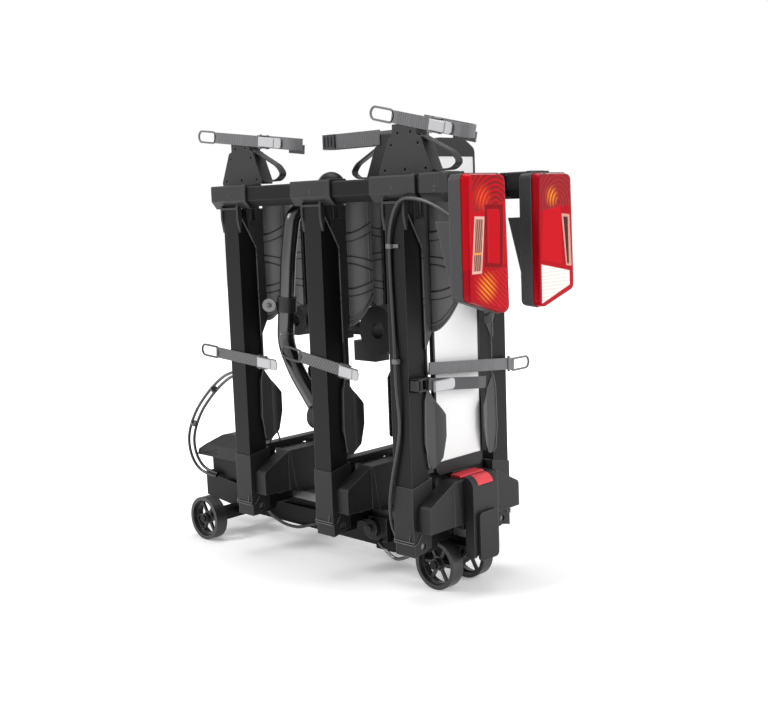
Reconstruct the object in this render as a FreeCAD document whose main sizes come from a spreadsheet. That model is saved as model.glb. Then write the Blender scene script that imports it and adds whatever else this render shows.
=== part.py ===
import FreeCAD, Part
import math
import os
import Sketcher

# Folding three-bike carrier for a tow ball, standing folded on its wheels.
# +X points rearwards from the car, +Y is the far side, +Z is up, all in mm.
# Heights are measured from the floor and lengths from the rack's middle; every piece is
# then shifted so that the origin is the centre of the tow-ball socket.

Vector = FreeCAD.Vector
doc = FreeCAD.newDocument("bike_rack")
sheet = doc.addObject("Spreadsheet::Sheet", "Sizes")
nodes = {}
counts = {"cell": 0, "helper": 0}


class Size(float):
    """A number that keeps the spreadsheet expression it was worked out from."""

    def __new__(cls, number, text=None):
        size = super().__new__(cls, number)
        size.text = text if text else "(%r)" % float(number)
        return size

    def joined(self, other, sign, number, swap=False):
        other = other if isinstance(other, Size) else Size(other)
        pair = (other.text, self.text) if swap else (self.text, other.text)
        return Size(number, "(%s %s %s)" % (pair[0], sign, pair[1]))

    def __add__(self, other):
        return self.joined(other, "+", float(self) + float(other))

    def __radd__(self, other):
        return self.joined(other, "+", float(self) + float(other), True)

    def __sub__(self, other):
        return self.joined(other, "-", float(self) - float(other))

    def __rsub__(self, other):
        return self.joined(other, "-", float(other) - float(self), True)

    def __mul__(self, other):
        return self.joined(other, "*", float(self) * float(other))

    def __rmul__(self, other):
        return self.joined(other, "*", float(self) * float(other), True)

    def __truediv__(self, other):
        return self.joined(other, "/", float(self) / float(other))

    def __neg__(self):
        return self * -1


def named(name, number):
    """Keep a driving dimension in the sheet under its own alias."""
    counts["cell"] += 1
    address = "B%d" % counts["cell"]
    sheet.set("A%d" % counts["cell"], name)
    sheet.set(address, str(number))
    sheet.setAlias(address, name)
    return Size(float(sheet.getContents(address)), "Sizes." + name)


# Frame of reference
socket_x = -405
socket_height = 72

# Main sizes: where the rails stand along the rack, how long they are and how far apart
# the two wings lie
rail_x_left = -206
rail_span = 412
middle_shift = 221
rail_length = 538
wing_half = 124

# Wing rails, three in each wing
rail_width = 40
rail_depth = 40
rail_wall = 3
rail_start = 114
rail_taper = 77
rail_tip_depth = 8

# Rail shoes with the hinge fork, and the hinge itself
shoe_wall = 1.6
shoe_bottom = 77
shoe_top = 192
shoe_rise = 10
shoe_depth = 47
foot_depth = 42
foot_chamfer = 9
foot_step = 97
pivot_inset = 21
pivot_height = 92
pin_radius = 6
pin_recess = 3
pin_gap = 0.06
arm_width = 30
arm_height = 30
arm_neck_y = 60
arm_neck_rise = 12
fork_gap = 0.5
fork_front = 4

# Top bar of each wing and its moulded fittings
bar_height = 36
bar_depth = 32
bar_crease = 11
bar_wall = 2.5
bar_overhang = 44
bar_reach = 112
clamp_length = 100
clamp_wall = 3
ear_thickness = 5
ear_height = 48
end_block_length = 58

# Wheel trays
tray_wall = 3
tray_spread = 35
tray_foot_y = 57
tray_rim_y = 81
tray_bulge = 7
tray_start = 216
cup_low = 412
cup_high = 487
lobe_top = 352
lobe_spread = 7
lobe_rim_y = 76
lobe_shoulder = 303
lobe_waist = 268

# Beam under the rack
beam_start = -290
beam_end_inset = 56
beam_half = 24
beam_bottom = 40
beam_top = 77
beam_wall = 3
web_half = 14
tube_half = 20
tube_bottom = 91
tube_top = 107
tube_wall = 2
tube_reach = 44

# Hinge covers over each cross arm
cover_gap = 2
cover_thickness = 28
cover_reach_inset = 9
cover_bottom = 119
cover_shoulder = 162
cover_round = 9
cover_peak = 193
cover_peak_y = 54
ridge_low_y = 48
ridge_high_y = 55
ridge_width = 17
ridge_proud = 1
saddle_half = 60
saddle_top = 162
core_half = 30
bridge_half = 76
bridge_width = 20
bridge_height = 12
bridge_top = 203
bracket_half = 22
seat_gap = 0.3

# Rear block with its releases and pedal
block_depth = 19
block_half = 32
block_bottom = 62
block_top = 198
block_round = 18
release_half = 19
release_thickness = 2.5
release_gap = 0.4
button_length = 22
button_half = 30
button_height = 4.5
pedal_half = 23.5
pedal_bottom = 57
pedal_height = 82
pedal_thickness = 6
pedal_round = 7
pedal_pin_radius = 2.5
knuckle_radius = 5

# Wheels and axles
wheel_radius = 42.75
wheel_width = 25
tyre_thickness = 7
wheel_web = 5
hub_radius = 10
axle_radius = 5
axle_gap = 0.08
spoke_count = 6
spoke_width = 5
window_inner = 13
window_outer = 33
rear_wheel_inset = 3
rear_wheel_y = 39.5
front_wheel_x = -350
front_wheel_y = 105.5
wheel_side_gap = 0.4
axle_head_radius = 7.5
axle_head_length = 3
carrier_half = 24
front_beam_height = 22
front_beam_width = 24

# Tow-ball coupling
cup_radius = 25.1
cup_wall = 4
cup_height = 24
coupling_start = -440
coupling_half = 40
coupling_bottom = 62
coupling_top = 112
coupling_low_top = 96
hood_start = -458
hood_end = -322
hood_base = 146
hood_half = 46
hood_peak = 198
lever_length = 66
lever_pin_radius = 3
lever_gap = 0.4
lever_half = 16
lever_pivot_x = -306
lever_pivot_height = 140

# Lamps on the ends of the top bars
lamp_gap = 10
lamp_depth = 24
lamp_inner_inset = 87
lamp_outer_reach = 11
lamp_height = 190
lamp_low_drop = 25
lamp_round = 10
lens_depth = 12
lens_taper = 7
lamp_back_depth = 29
lamp_back_bottom = 14
lamp_back_top = 120
lamp_back_inset = 1.5

# Number plate and its frame
plate_inset = 8
plate_half = 59
plate_bottom = 200
plate_height = 550
frame_depth = 8
frame_foot = 22
frame_head = 30
frame_side = 4
frame_round = 12
frame_chamfer_y = 28
frame_chamfer_z = 17
number_plate_thickness = 1.2

# Mast and telescopic frame-holder arm
mast_x = -72
mast_half = 18
mast_rise = 26
mast_round = 5
mast_wall = 3
dome_radius = 26
dome_height = 22
knurl_radius = 34
knurl_height = 9
arm_radius = 14
arm_clearance = 0.3
lower_arm_radius = 15.5
collar_radius = 18.5
collar_height = 27
collar_level = 461
lock_radius = 12
lock_length = 10
lock_reach = 36
holder_radius = 24
holder_width = 34
holder_bore = 15
drum_radius = 44
drum_half = 17

# Pull-out wheel holders
head_rise = 4
head_height = 80
head_shoulder = 22
head_neck = 19
head_half = 57
shoulder_half = 34
neck_half = 26
head_outer_inset = 34
head_depth = 26
stem_half = 18
stem_depth = 10.7
stem_length = 152
loop_reach = 100
loop_width = 14
loop_thickness = 3
screw_hole_radius = 2.5

# Ratchet straps
strap_thickness = 3
strap_width = 20
strap_gap = 0.3
strap_drop = 5
ring_width = 24
ring_length = 56
ring_hole = 42
latch_thickness = 5
wheel_strap_height = 376

# Cables and small fittings by the beam
cable_radius = 3
wire_radius = 3
knob_x = 46
knob_height = 76
knob_reach = 46
knob_radius = 17

# From here on each of those numbers carries the expression it has in the sheet
for name, number in sorted(globals().items()):
    if name.islower() and type(number) in (int, float):
        globals()[name] = named(name, number)

# Places that follow from them
half_rail = rail_width / 2
rail_x_right = rail_x_left + rail_span
rail_x_middle = rail_x_left + middle_shift
rail_x = (rail_x_left, rail_x_middle, rail_x_right)
pivot_y = wing_half - pivot_inset
bar_bottom = rail_start + rail_length
rail_taper_start = bar_bottom - rail_taper
bar_start = rail_x_left - bar_overhang
bar_end = rail_x_right + bar_reach
end_block_start = bar_end + 5 - end_block_length
tray_end = bar_bottom - 3.5
beam_end = rail_x_right - beam_end_inset
tube_end = rail_x_right + tube_reach
cover_reach = wing_half - cover_reach_inset
rear_wheel_x = rail_x_right - rear_wheel_inset
plate_x = rail_x_right + plate_inset
plate_top = plate_bottom + plate_height
tray_half = half_rail + tray_wall
block_start = rail_x_right + half_rail + cover_gap + cover_thickness + ridge_proud + seat_gap
block_end = block_start + block_depth
button_start = rail_x_right + half_rail
lamp_start = bar_end + lamp_gap
lamp_inner = wing_half - lamp_inner_inset
lamp_outer = wing_half + lamp_outer_reach
lamp_top = bar_bottom + bar_height
lamp_bottom = lamp_top - lamp_height
lamp_low_corner = lamp_bottom - lamp_low_drop
mast_top = bar_bottom + mast_rise
head_bottom = bar_bottom + bar_height + head_rise
head_top = head_bottom + head_height
head_outer = wing_half - head_outer_inset
stem_start = head_bottom - stem_length
strap_level = head_top - strap_drop


def bind(thing, path, size):
    """Tie one property to the sheet, or set it where it is a plain number."""
    if isinstance(size, Size):
        thing.setExpression(path, size.text)


def place(thing, x=Size(0), y=Size(0), z=Size(0)):
    """Put a piece at rack coordinates, moved into the socket's frame."""
    thing.Placement.Base = Vector(x - socket_x, y, z - socket_height)
    bind(thing, ".Placement.Base.x", x - socket_x)
    bind(thing, ".Placement.Base.y", Size(0) + y)
    bind(thing, ".Placement.Base.z", z - socket_height)
    return thing


def helper(name=None):
    """Give a helper solid that isn't a node a plain running name."""
    counts["helper"] += 1
    return name or "form_%03d" % counts["helper"]


def box(x, y, z, name=None):
    """A block between two values along each axis."""
    thing = doc.addObject("Part::Box", helper(name))
    for path, pair in (("Length", x), ("Width", y), ("Height", z)):
        span = Size(0) + pair[1] - pair[0]
        setattr(thing, path, float(span))
        bind(thing, path, span)
    return place(thing, Size(0) + x[0], Size(0) + y[0], Size(0) + z[0])


def rod(radius, start, length, axis, name=None):
    """A cylinder from a start point along X, Y or Z."""
    thing = doc.addObject("Part::Cylinder", helper(name))
    thing.Radius = float(radius)
    thing.Height = float(length)
    bind(thing, "Radius", Size(0) + radius)
    bind(thing, "Height", Size(0) + length)
    turns = {"X": (Vector(0, 1, 0), 90), "Y": (Vector(1, 0, 0), -90), "Z": (Vector(0, 0, 1), 0)}
    thing.Placement.Rotation = FreeCAD.Rotation(*turns[axis])
    return place(thing, *[Size(0) + value for value in start])


def outline(body, plane, loops, offset):
    """A fully constrained sketch of straight-sided loops and of circles."""
    role = {"XY": "XY_Plane", "XZ": "XZ_Plane", "YZ": "YZ_Plane"}[plane]
    base = [item for item in body.Origin.OriginFeatures if item.Role == role][0]
    sketch = body.newObject("Sketcher::SketchObject", helper())
    sketch.AttachmentSupport = [(base, "")]
    sketch.MapMode = "FlatFace"
    sketch.setExpression(".AttachmentOffset.Base.z", (Size(0) + offset).text)
    for loop in loops:
        if isinstance(loop[0], tuple):
            draw_polygon(sketch, loop)
        else:
            draw_circle(sketch, *loop)
    return sketch


def fix(sketch, kind, geometry, point, size):
    """Hold one point's distance from the sketch origin by an expression."""
    index = sketch.addConstraint(Sketcher.Constraint(kind, -1, 1, geometry, point, float(size)))
    sketch.setExpression("Constraints[%d]" % index, (Size(0) + size).text)


def draw_polygon(sketch, points):
    corners = [Vector(float(a), float(b), 0) for a, b in points]
    first = sketch.GeometryCount
    total = len(corners)
    for number in range(total):
        side = Part.LineSegment(corners[number], corners[(number + 1) % total])
        sketch.addGeometry(side, False)
    for number in range(total):
        following = first + (number + 1) % total
        sketch.addConstraint(Sketcher.Constraint("Coincident", first + number, 2, following, 1))
    for number, (a, b) in enumerate(points):
        fix(sketch, "DistanceX", first + number, 1, a)
        fix(sketch, "DistanceY", first + number, 1, b)


def draw_circle(sketch, radius, a, b):
    centre = Vector(float(a), float(b), 0)
    index = sketch.addGeometry(Part.Circle(centre, Vector(0, 0, 1), float(radius)), False)
    held = sketch.addConstraint(Sketcher.Constraint("Radius", index, float(radius)))
    sketch.setExpression("Constraints[%d]" % held, (Size(0) + radius).text)
    fix(sketch, "DistanceX", index, 3, a)
    fix(sketch, "DistanceY", index, 3, b)


def prism(plane, points, start, length, name=None, holes=(), rounded=None):
    """A profile padded along the plane's positive axis from start."""
    body = doc.addObject("PartDesign::Body", helper(name))
    forward = -1 if plane == "XZ" else 1
    sketch = outline(body, plane, [points] + list(holes), (Size(0) + start) * forward)
    pad = body.newObject("PartDesign::Pad", helper())
    pad.Profile = sketch
    pad.Length = float(length)
    pad.Reversed = plane == "XZ"
    bind(pad, "Length", Size(0) + length)
    if rounded:
        doc.recompute()
        round_corners(body, pad, plane, *rounded)
    place(body)
    return body


def round_corners(body, pad, plane, radius, chosen=None):
    """Fillet the pad's own long edges, all of them or those that chosen accepts."""
    axis = {"XY": Vector(0, 0, 1), "XZ": Vector(0, 1, 0), "YZ": Vector(1, 0, 0)}[plane]
    names = []
    for number, edge in enumerate(pad.Shape.Edges):
        ends = [vertex.Point for vertex in edge.Vertexes]
        if len(ends) < 2 or not isinstance(edge.Curve, Part.Line):
            continue
        along = (ends[1] - ends[0]).normalize()
        if abs(along.dot(axis)) < 0.999 or (chosen and not chosen(ends[0])):
            continue
        names.append("Edge%d" % (number + 1))
    fillet = body.newObject("PartDesign::Fillet", helper())
    fillet.Base = (pad, names)
    fillet.Radius = float(radius)
    bind(fillet, "Radius", Size(0) + radius)
    body.Tip = fillet


def cut(base, tools, name=None):
    """The base with every tool taken away."""
    for number, tool in enumerate(tools):
        last = number == len(tools) - 1
        thing = doc.addObject("Part::Cut", helper(name if last else None))
        thing.Base = base
        thing.Tool = tool
        base = thing
    return base


def fuse(pieces, name=None):
    """One solid made of touching pieces."""
    thing = doc.addObject("Part::MultiFuse", helper(name))
    thing.Shapes = pieces
    thing.Refine = True
    return thing


def group(pieces, name):
    """Like pieces that stay separate solids in one node."""
    thing = doc.addObject("Part::Compound", name)
    thing.Links = pieces
    return thing


def mirrored(source, name=None):
    """The same piece on the far side of the rack."""
    thing = doc.addObject("Part::Mirroring", helper(name))
    thing.Source = source
    thing.Normal = Vector(0, 1, 0)
    thing.Base = Vector(0, 0, 0)
    return thing


def shaped(shape, name=None):
    """A piece whose form is worked out with Part's own functions."""
    thing = doc.addObject("Part::Feature", helper(name))
    thing.Shape = shape
    return place(thing)


def keep(thing, name):
    """Record a piece as a node under its own label."""
    thing.Label = name
    nodes[name] = thing
    return thing


def rounded_wire(points, radius):
    """A closed wire through the points with an arc at each corner."""
    edges = []
    total = len(points)
    cuts = []
    for number in range(total):
        before, corner, after = points[number - 1], points[number], points[(number + 1) % total]
        one = (before - corner).normalize()
        two = (after - corner).normalize()
        half = math.acos(max(-1, min(1, one.dot(two)))) / 2
        reach = float(radius) / math.tan(half)
        middle = corner + (one + two).normalize() * (float(radius) / math.sin(half) - float(radius))
        cuts.append((corner + one * reach, middle, corner + two * reach))
    for number in range(total):
        edges.append(Part.Arc(*cuts[number]).toShape())
        edges.append(Part.LineSegment(cuts[number][2], cuts[(number + 1) % total][0]).toShape())
    return Part.Wire(edges)


def smooth_path(points, share=0.45):
    """Straight runs joined by tangent arcs, each as large as its runs allow."""
    edges = []
    start = points[0]
    radii = []
    for before, corner, after in zip(points, points[1:], points[2:]):
        one = (before - corner)
        two = (after - corner)
        shorter = min(one.Length, two.Length)
        one.normalize()
        two.normalize()
        half = math.acos(max(-1, min(1, one.dot(two)))) / 2
        reach = share * shorter
        radius = reach * math.tan(half)
        middle = corner + (one + two).normalize() * (radius / math.sin(half) - radius)
        radii.append(round(radius, 1))
        edges.append(Part.LineSegment(start, corner + one * reach).toShape())
        edges.append(Part.Arc(corner + one * reach, middle, corner + two * reach).toShape())
        start = corner + two * reach
    edges.append(Part.LineSegment(start, points[-1]).toShape())
    return Part.Wire(edges), radii


def swept(points, radius, share=0.45):
    """A round bar or cable along a smooth path."""
    path, radii = smooth_path(points, share)
    ahead = (points[1] - points[0]).normalize()
    ring = Part.Wire(Part.Circle(points[0], ahead, float(radius)).toShape())
    solid = path.makePipeShell([ring], True, False)
    print("path of", round(path.Length, 1), "mm, bend radii", radii)
    return solid


def band(points, height, thickness, share=0.45, up=Vector(0, 0, 1)):
    """A flat band swept along a smooth path, its width along up."""
    path, radii = smooth_path(points, share)
    ahead = (points[1] - points[0]).normalize()
    side = ahead.cross(up).normalize() * float(thickness) / 2
    rise = up * float(height) / 2
    start = points[0]
    corners = [start - side - rise, start + side - rise, start + side + rise, start - side + rise]
    profile = Part.makePolygon(corners + [corners[0]])
    print("band of", round(path.Length, 1), "mm, bend radii", radii)
    return path.makePipeShell([profile], True, False)


def ring(centre, length, height, hole, thickness, along):
    """A flat oval frame that lies in the plane of along and Z."""
    up = Vector(0, 0, 1)
    across = along.cross(up)
    solids = []
    for scale, grow in ((Vector(length, height, 0), 0), (Vector(hole, height - 8, 0), 2)):
        a = along * float(scale.x) / 2
        b = up * float(scale.y) / 2
        corners = [centre - a - b, centre + a - b, centre + a + b, centre - a + b]
        wire = rounded_wire(corners, scale.y / 2 - 0.2)
        face = Part.Face(wire)
        depth = float(thickness) + grow * 2
        face.translate(across * -depth / 2)
        solids.append(face.extrude(across * depth))
    return solids[0].cut(solids[1])


def tilted(thing, x, z, degrees):
    """Turn a piece about an axis along Y through a rack point."""
    centre = Vector(x - socket_x, 0, z - socket_height)
    turn = FreeCAD.Rotation(Vector(0, 1, 0), degrees)
    for axis in "xyz":
        thing.setExpression(".Placement.Base." + axis, None)
    thing.Placement = FreeCAD.Placement(centre - turn.multVec(centre), turn).multiply(thing.Placement)
    return thing


# One rail, a square tube whose inner side slopes away under the top bar
def rail(x):
    back = wing_half - rail_depth
    points = [(-wing_half, rail_start), (-back, rail_start), (-back, rail_taper_start)]
    points += [(-wing_half + rail_tip_depth, bar_bottom - clamp_wall)]
    points += [(-wing_half, bar_bottom - clamp_wall)]
    side = half_rail - rail_wall
    bore = box((x - side, x + side), (-wing_half + rail_wall, -back - rail_wall),
               (rail_start - 1, rail_taper_start - rail_wall * 2))
    return cut(prism("YZ", points, x - half_rail, rail_width), [bore])


# Moulded shoe round the rail's lower end, a fork over the hinge arm below it
def shoe(x):
    outer = wing_half + shoe_wall
    inner = outer - shoe_depth
    foot = outer - foot_depth
    points = [(-outer + 2, shoe_bottom), (-foot, shoe_bottom + foot_chamfer), (-foot, rail_start)]
    points += [(-inner, rail_start + (foot - inner)), (-inner, shoe_top + shoe_rise)]
    points += [(-outer, shoe_top), (-outer, foot_step + 2), (-outer + 2, foot_step)]
    shell = prism("YZ", points, x - half_rail - shoe_wall, rail_width + shoe_wall * 2)
    high = shoe_top + shoe_rise + 1
    side = (x - half_rail, x + half_rail)
    pocket = box(side, (-wing_half, -wing_half + rail_depth), (rail_start, high))
    slot_half = arm_width / 2 + fork_gap
    slot_end = pivot_height + arm_height / 2 + fork_gap * 8
    slot = box((x - slot_half, x + slot_half), (-outer + fork_front, -inner + 1),
               (shoe_bottom - 1, slot_end))
    start = (x - half_rail - shoe_wall - 1, -pivot_y, pivot_height)
    bore = rod(pin_radius + pin_gap, start, rail_width + shoe_wall * 2 + 2, "X")
    return cut(shell, [pocket, slot, bore])


near_rails = keep(group([rail(x) for x in rail_x], "near_rails"), "near_rails")
near_shoes = keep(group([shoe(x) for x in rail_x], "near_shoes"), "near_shoes")


# Six-sided top bar, and the moulded clamps that close round it
def bar_profile(wall):
    outer = wing_half + wall
    inner = wing_half - bar_depth - wall
    low = bar_bottom - wall
    high = bar_bottom + bar_height + wall
    crease = bar_crease
    points = [(-outer, low + crease), (-outer, high - 2), (-outer + 2, high), (-inner - 2, high)]
    points += [(-inner, high - 2), (-inner, low + crease), (-inner - crease, low)]
    return points + [(-outer + crease, low)]


def clamp(x):
    start = x - clamp_length / 2
    sleeve = prism("YZ", bar_profile(clamp_wall), start, clamp_length,
                   holes=[bar_profile(Size(0))])
    low = bar_bottom - clamp_wall
    front = wing_half + clamp_wall
    profile = [(-front, low + bar_crease), (-front, low - ear_height / 2),
               (-wing_half + 8, low - ear_height), (-wing_half + 22, low - ear_height / 2),
               (-wing_half + 22, low + 1), (-wing_half + bar_crease - 1, low + 1)]
    gap = half_rail + strap_gap
    left = prism("YZ", profile, x - gap - ear_thickness, ear_thickness)
    right = prism("YZ", profile, x + gap, ear_thickness)
    rim = prism("YZ", bar_profile(clamp_wall + 1), x + clamp_length / 2 - 7, 7,
                holes=[bar_profile(Size(0))])
    return fuse([sleeve, rim, cut(left, [prism("YZ", bar_profile(Size(0)), start, clamp_length)]),
                 cut(right, [prism("YZ", bar_profile(Size(0)), start, clamp_length)])])


end_block = prism("YZ", bar_profile(clamp_wall + 1), end_block_start, end_block_length,
                  holes=[bar_profile(Size(0))])
near_bar = keep(prism("YZ", bar_profile(Size(0)), bar_start, bar_end - bar_start, "near_bar",
                      holes=[bar_profile(bar_wall * -1)]), "near_bar")
fittings = [clamp(x) for x in rail_x] + [end_block]
near_fittings = keep(group(fittings, "near_fittings"), "near_fittings")


# Wheel tray: a floor on the rail, side walls along it and curved flanks, waisted for the strap
def outlined(solid, levels):
    """What an outline in Y and Z leaves of a solid."""
    corners = [Vector(-600, y, z) for y, z in levels]
    return solid.common(Part.Face(Part.makePolygon(corners + [corners[0]])).extrude(Vector(1200, 0, 0)))


def side_wall(side, x):
    """The straight wall that lies against the rail's side."""
    low = min(half_rail * side, tray_half * side)
    return Part.makeBox(tray_wall, tray_foot_y, tray_end - tray_start,
                        Vector(x + low, -wing_half, tray_start))


def flank(side, x, spread, rim_y):
    """One curved flank from the side wall out to its rim."""
    foot = Vector(tray_half * side, -wing_half + tray_foot_y, 0)
    rim = Vector((tray_half + spread) * side, -wing_half + rim_y, 0)
    run = rim - foot
    out = Vector(run.y * side, -run.x * side, 0).normalize()
    middle = (foot + rim) / 2 + out * float(tray_bulge) * (spread / tray_spread)
    inward = Vector(-tray_wall * side, 0, 0)
    outer = Part.Arc(foot, middle, rim).toShape()
    inner = Part.Arc(rim + inward, middle + inward, foot + inward).toShape()
    ends = [Part.LineSegment(rim, rim + inward).toShape(),
            Part.LineSegment(foot + inward, foot).toShape()]
    face = Part.Face(Part.Wire([outer, ends[0], inner, ends[1]]))
    wall = face.extrude(Vector(0, 0, tray_end - tray_start))
    wall.translate(Vector(x, 0, tray_start))
    return wall


def tray(x):
    back = -wing_half + rail_depth
    front = -wing_half + 22.6
    rim = -wing_half + tray_rim_y
    low_rim = -wing_half + lobe_rim_y
    floor = Part.makeBox(tray_half * 2, tray_wall, tray_end - tray_start,
                         Vector(x - tray_half, back, tray_start))
    cup = [(front, tray_end), (front, bar_bottom - 40), (back - 2, bar_bottom - 75),
           (back - 0.5, cup_low), (rim, cup_high), (rim + 1, tray_end)]
    lobe = [(back, lobe_top), (back - 8, lobe_top - 22), (back - 10, tray_start + 46),
            (back + 6, tray_start), (back + 14, tray_start), (low_rim - 8, tray_start + 16),
            (low_rim, lobe_waist), (low_rim, lobe_shoulder)]
    pieces = [outlined(flank(1, x, lobe_spread, lobe_rim_y), lobe)]
    for side in (-1, 1):
        pieces.append(outlined(side_wall(side, x), cup))
        pieces.append(outlined(side_wall(side, x), lobe))
        pieces.append(outlined(flank(side, x, tray_spread, tray_rim_y), cup))
    return shaped(floor.multiFuse(pieces).removeSplitter())


near_trays = keep(group([tray(x) for x in rail_x], "near_trays"), "near_trays")


# Lamp: a housing with a tapered back on the bar's end block, and a domed lens
def lamp_corners(x, inset_top, inset_low):
    inner, outer = lamp_inner, lamp_outer
    points = [(outer - inset_top, lamp_top - inset_top / 2), (inner + inset_top, lamp_top - inset_top / 2),
              (inner + inset_low, lamp_low_corner + inset_low + 6),
              (inner + 12 + inset_low, lamp_low_corner + inset_low),
              (outer - inset_low, lamp_bottom + inset_low)]
    return [Vector(x, -y, z) for y, z in points]


def lamp_solid(x, depth, back, front):
    wires = [rounded_wire(lamp_corners(x, *back), lamp_round),
             rounded_wire(lamp_corners(x + depth, *front), lamp_round)]
    return Part.makeLoft(wires, True, True)


def lamp_housing():
    shell = lamp_solid(lamp_start, lamp_depth, (2, 2), (0, 0))
    top = lamp_bottom + lamp_back_top
    inset = lamp_back_inset
    low = Vector(lamp_start, 0, lamp_bottom + lamp_back_bottom)
    high = Vector(lamp_start, 0, top)
    back = Vector(lamp_start - lamp_back_depth, 0, top)
    wedge = Part.Face(Part.makePolygon([low, high, back, low]))
    wedge.translate(Vector(0, -lamp_outer + 2 + inset, 0))
    wedge = wedge.extrude(Vector(0, lamp_outer - lamp_inner - 12, 0))
    seat = Part.makeBox(lamp_start - end_block_start - end_block_length, bar_depth, bar_height - 6,
                        Vector(end_block_start + end_block_length, -wing_half, bar_bottom))
    return shell.multiFuse([wedge, seat]).removeSplitter()


near_lamp_housing = keep(shaped(lamp_housing(), "near_lamp_housing"), "near_lamp_housing")
lens = lamp_solid(lamp_start + lamp_depth, lens_depth, (1, 1), (lens_taper, 2))
near_lens = keep(shaped(lens, "near_lens"), "near_lens")

# The far wing is the near wing's mirror image
for piece in ("rails", "shoes", "bar", "fittings", "trays", "lamp_housing", "lens"):
    keep(mirrored(nodes["near_" + piece], "far_" + piece), "far_" + piece)


# Channel beam, the aluminium tube on it and the hinge arms that carry the wings
def beam():
    hollow_half = beam_half - beam_wall
    outer = [(-beam_half, beam_bottom), (beam_half, beam_bottom), (beam_half, beam_top),
             (-beam_half, beam_top)]
    gap = beam_top - beam_wall * 2
    inner = [(-hollow_half, beam_bottom + beam_wall), (hollow_half, beam_bottom + beam_wall),
             (hollow_half, gap), (-hollow_half, gap)]
    channel = prism("YZ", outer, beam_start, beam_end - beam_start, holes=[inner])
    web = box((beam_start, tube_end), (-web_half, web_half), (beam_top, tube_bottom))
    foot = box((knob_x - 14, knob_x + 32), (-beam_half + 6, beam_half - 6), (beam_bottom - 9, beam_bottom))
    return fuse([channel, web, foot], "main_beam")


keep(beam(), "main_beam")


def tube_sides(wall):
    low, high, side = tube_bottom + wall, tube_top - wall, tube_half - wall
    return [(-side, low), (side, low), (side, high), (-side, high)]


keep(prism("YZ", tube_sides(Size(0)), beam_start, tube_end - beam_start, "upper_tube",
           holes=[tube_sides(tube_wall)]), "upper_tube")


def hinge_arm(x):
    low = pivot_height - arm_height / 2
    high = pivot_height + arm_height / 2
    neck = low + arm_neck_rise
    points = [(-pivot_y, low), (-arm_neck_y - 4, low), (-arm_neck_y, neck), (-tube_half, neck),
              (-tube_half, high), (-pivot_y, high)]
    bar = prism("YZ", points, x - arm_width / 2, arm_width)
    tip = rod(arm_height / 2, (x - arm_width / 2, -pivot_y, pivot_height), arm_width, "X")
    bore = rod(pin_radius + pin_gap, (x - arm_width, -pivot_y, pivot_height), arm_width * 2, "X")
    return cut(fuse([bar, tip]), [bore])


near_arms = [hinge_arm(x) for x in rail_x]
keep(group(near_arms + [mirrored(arm) for arm in near_arms], "hinge_arms"), "hinge_arms")


def hinge_pin(x, side):
    length = rail_width + shoe_wall * 2 - pin_recess * 2
    return rod(pin_radius, (x - length / 2, pivot_y * side, pivot_height), length, "X")


pins = [hinge_pin(x, side) for x in rail_x for side in (-1, 1)]
keep(group(pins, "hinge_pins"), "hinge_pins")


# Moulded cover beside each pair of rails, with a slotted bridge between the rails
def hinge_cover(x):
    start = x + half_rail + cover_gap
    half = [(cover_reach, cover_bottom), (cover_reach, cover_shoulder), (cover_peak_y, cover_peak)]
    points = [(-y, z) for y, z in half] + [(y, z) for y, z in reversed(half)]
    wing = prism("YZ", points, start, cover_thickness,
                 rounded=(cover_round, lambda end: abs(end.y) > cover_reach - 1 and end.z > cover_bottom + 1))
    ridge = [(ridge_low_y - ridge_width / 2, cover_bottom), (ridge_low_y + ridge_width / 2, cover_bottom),
             (ridge_high_y + 2, cover_peak - 1.5), (ridge_high_y - 4, cover_peak)]
    ridges = []
    for side in (-1, 1):
        points = [(y * side, z) for y, z in ridge]
        ridges.append(prism("YZ", points, start - ridge_proud, cover_thickness + ridge_proud * 2))
    arm_top = pivot_height + arm_height / 2
    back = x - half_rail + 2
    saddle = box((back, start + 1), (-saddle_half, saddle_half), (arm_top, saddle_top))
    core = box((back, start + cover_thickness - 6), (-core_half, core_half), (arm_top, cover_peak - 4))
    low = bridge_top - bridge_height
    corners = [(-bridge_half, low), (bridge_half, low), (bridge_half, bridge_top), (-bridge_half, bridge_top)]
    bridge = prism("YZ", corners, back, bridge_width, rounded=(4,))
    posts = []
    for y in (-bridge_half, bridge_half - 14):
        posts.append(box((back, back + bridge_width), (y, y + 14), (saddle_top - 1, low + 5)))
    feet = []
    for y in (-saddle_half, saddle_half - 12):
        feet.append(box((back, back + bridge_width), (y, y + 12), (saddle_top - 1, low + 2)))
    return fuse([wing, saddle, core, bridge] + posts + feet + ridges)


left_cover = hinge_cover(rail_x_left)
middle_cover = hinge_cover(rail_x_middle)
right_cover = hinge_cover(rail_x_right)
bracket = box((plate_x - 2, plate_x + frame_depth + 2), (-bracket_half, bracket_half),
              (cover_peak - 5, plate_bottom - seat_gap))
keep(group([left_cover, middle_cover, fuse([right_cover, bracket])], "hinge_covers"), "hinge_covers")


pedal_axis_x = block_end - 6
pedal_axis_height = block_bottom + 6
round_x = block_end - block_round
round_height = block_top - block_round


def arc_points(radius, first, last):
    """Points in X and Z along the block's rounded top edge, at a radius from its centre."""
    angles = [math.radians(first + (last - first) * step / 8) for step in range(9)]
    return [(round_x + radius * math.cos(a), round_height + radius * math.sin(a)) for a in angles]


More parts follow.
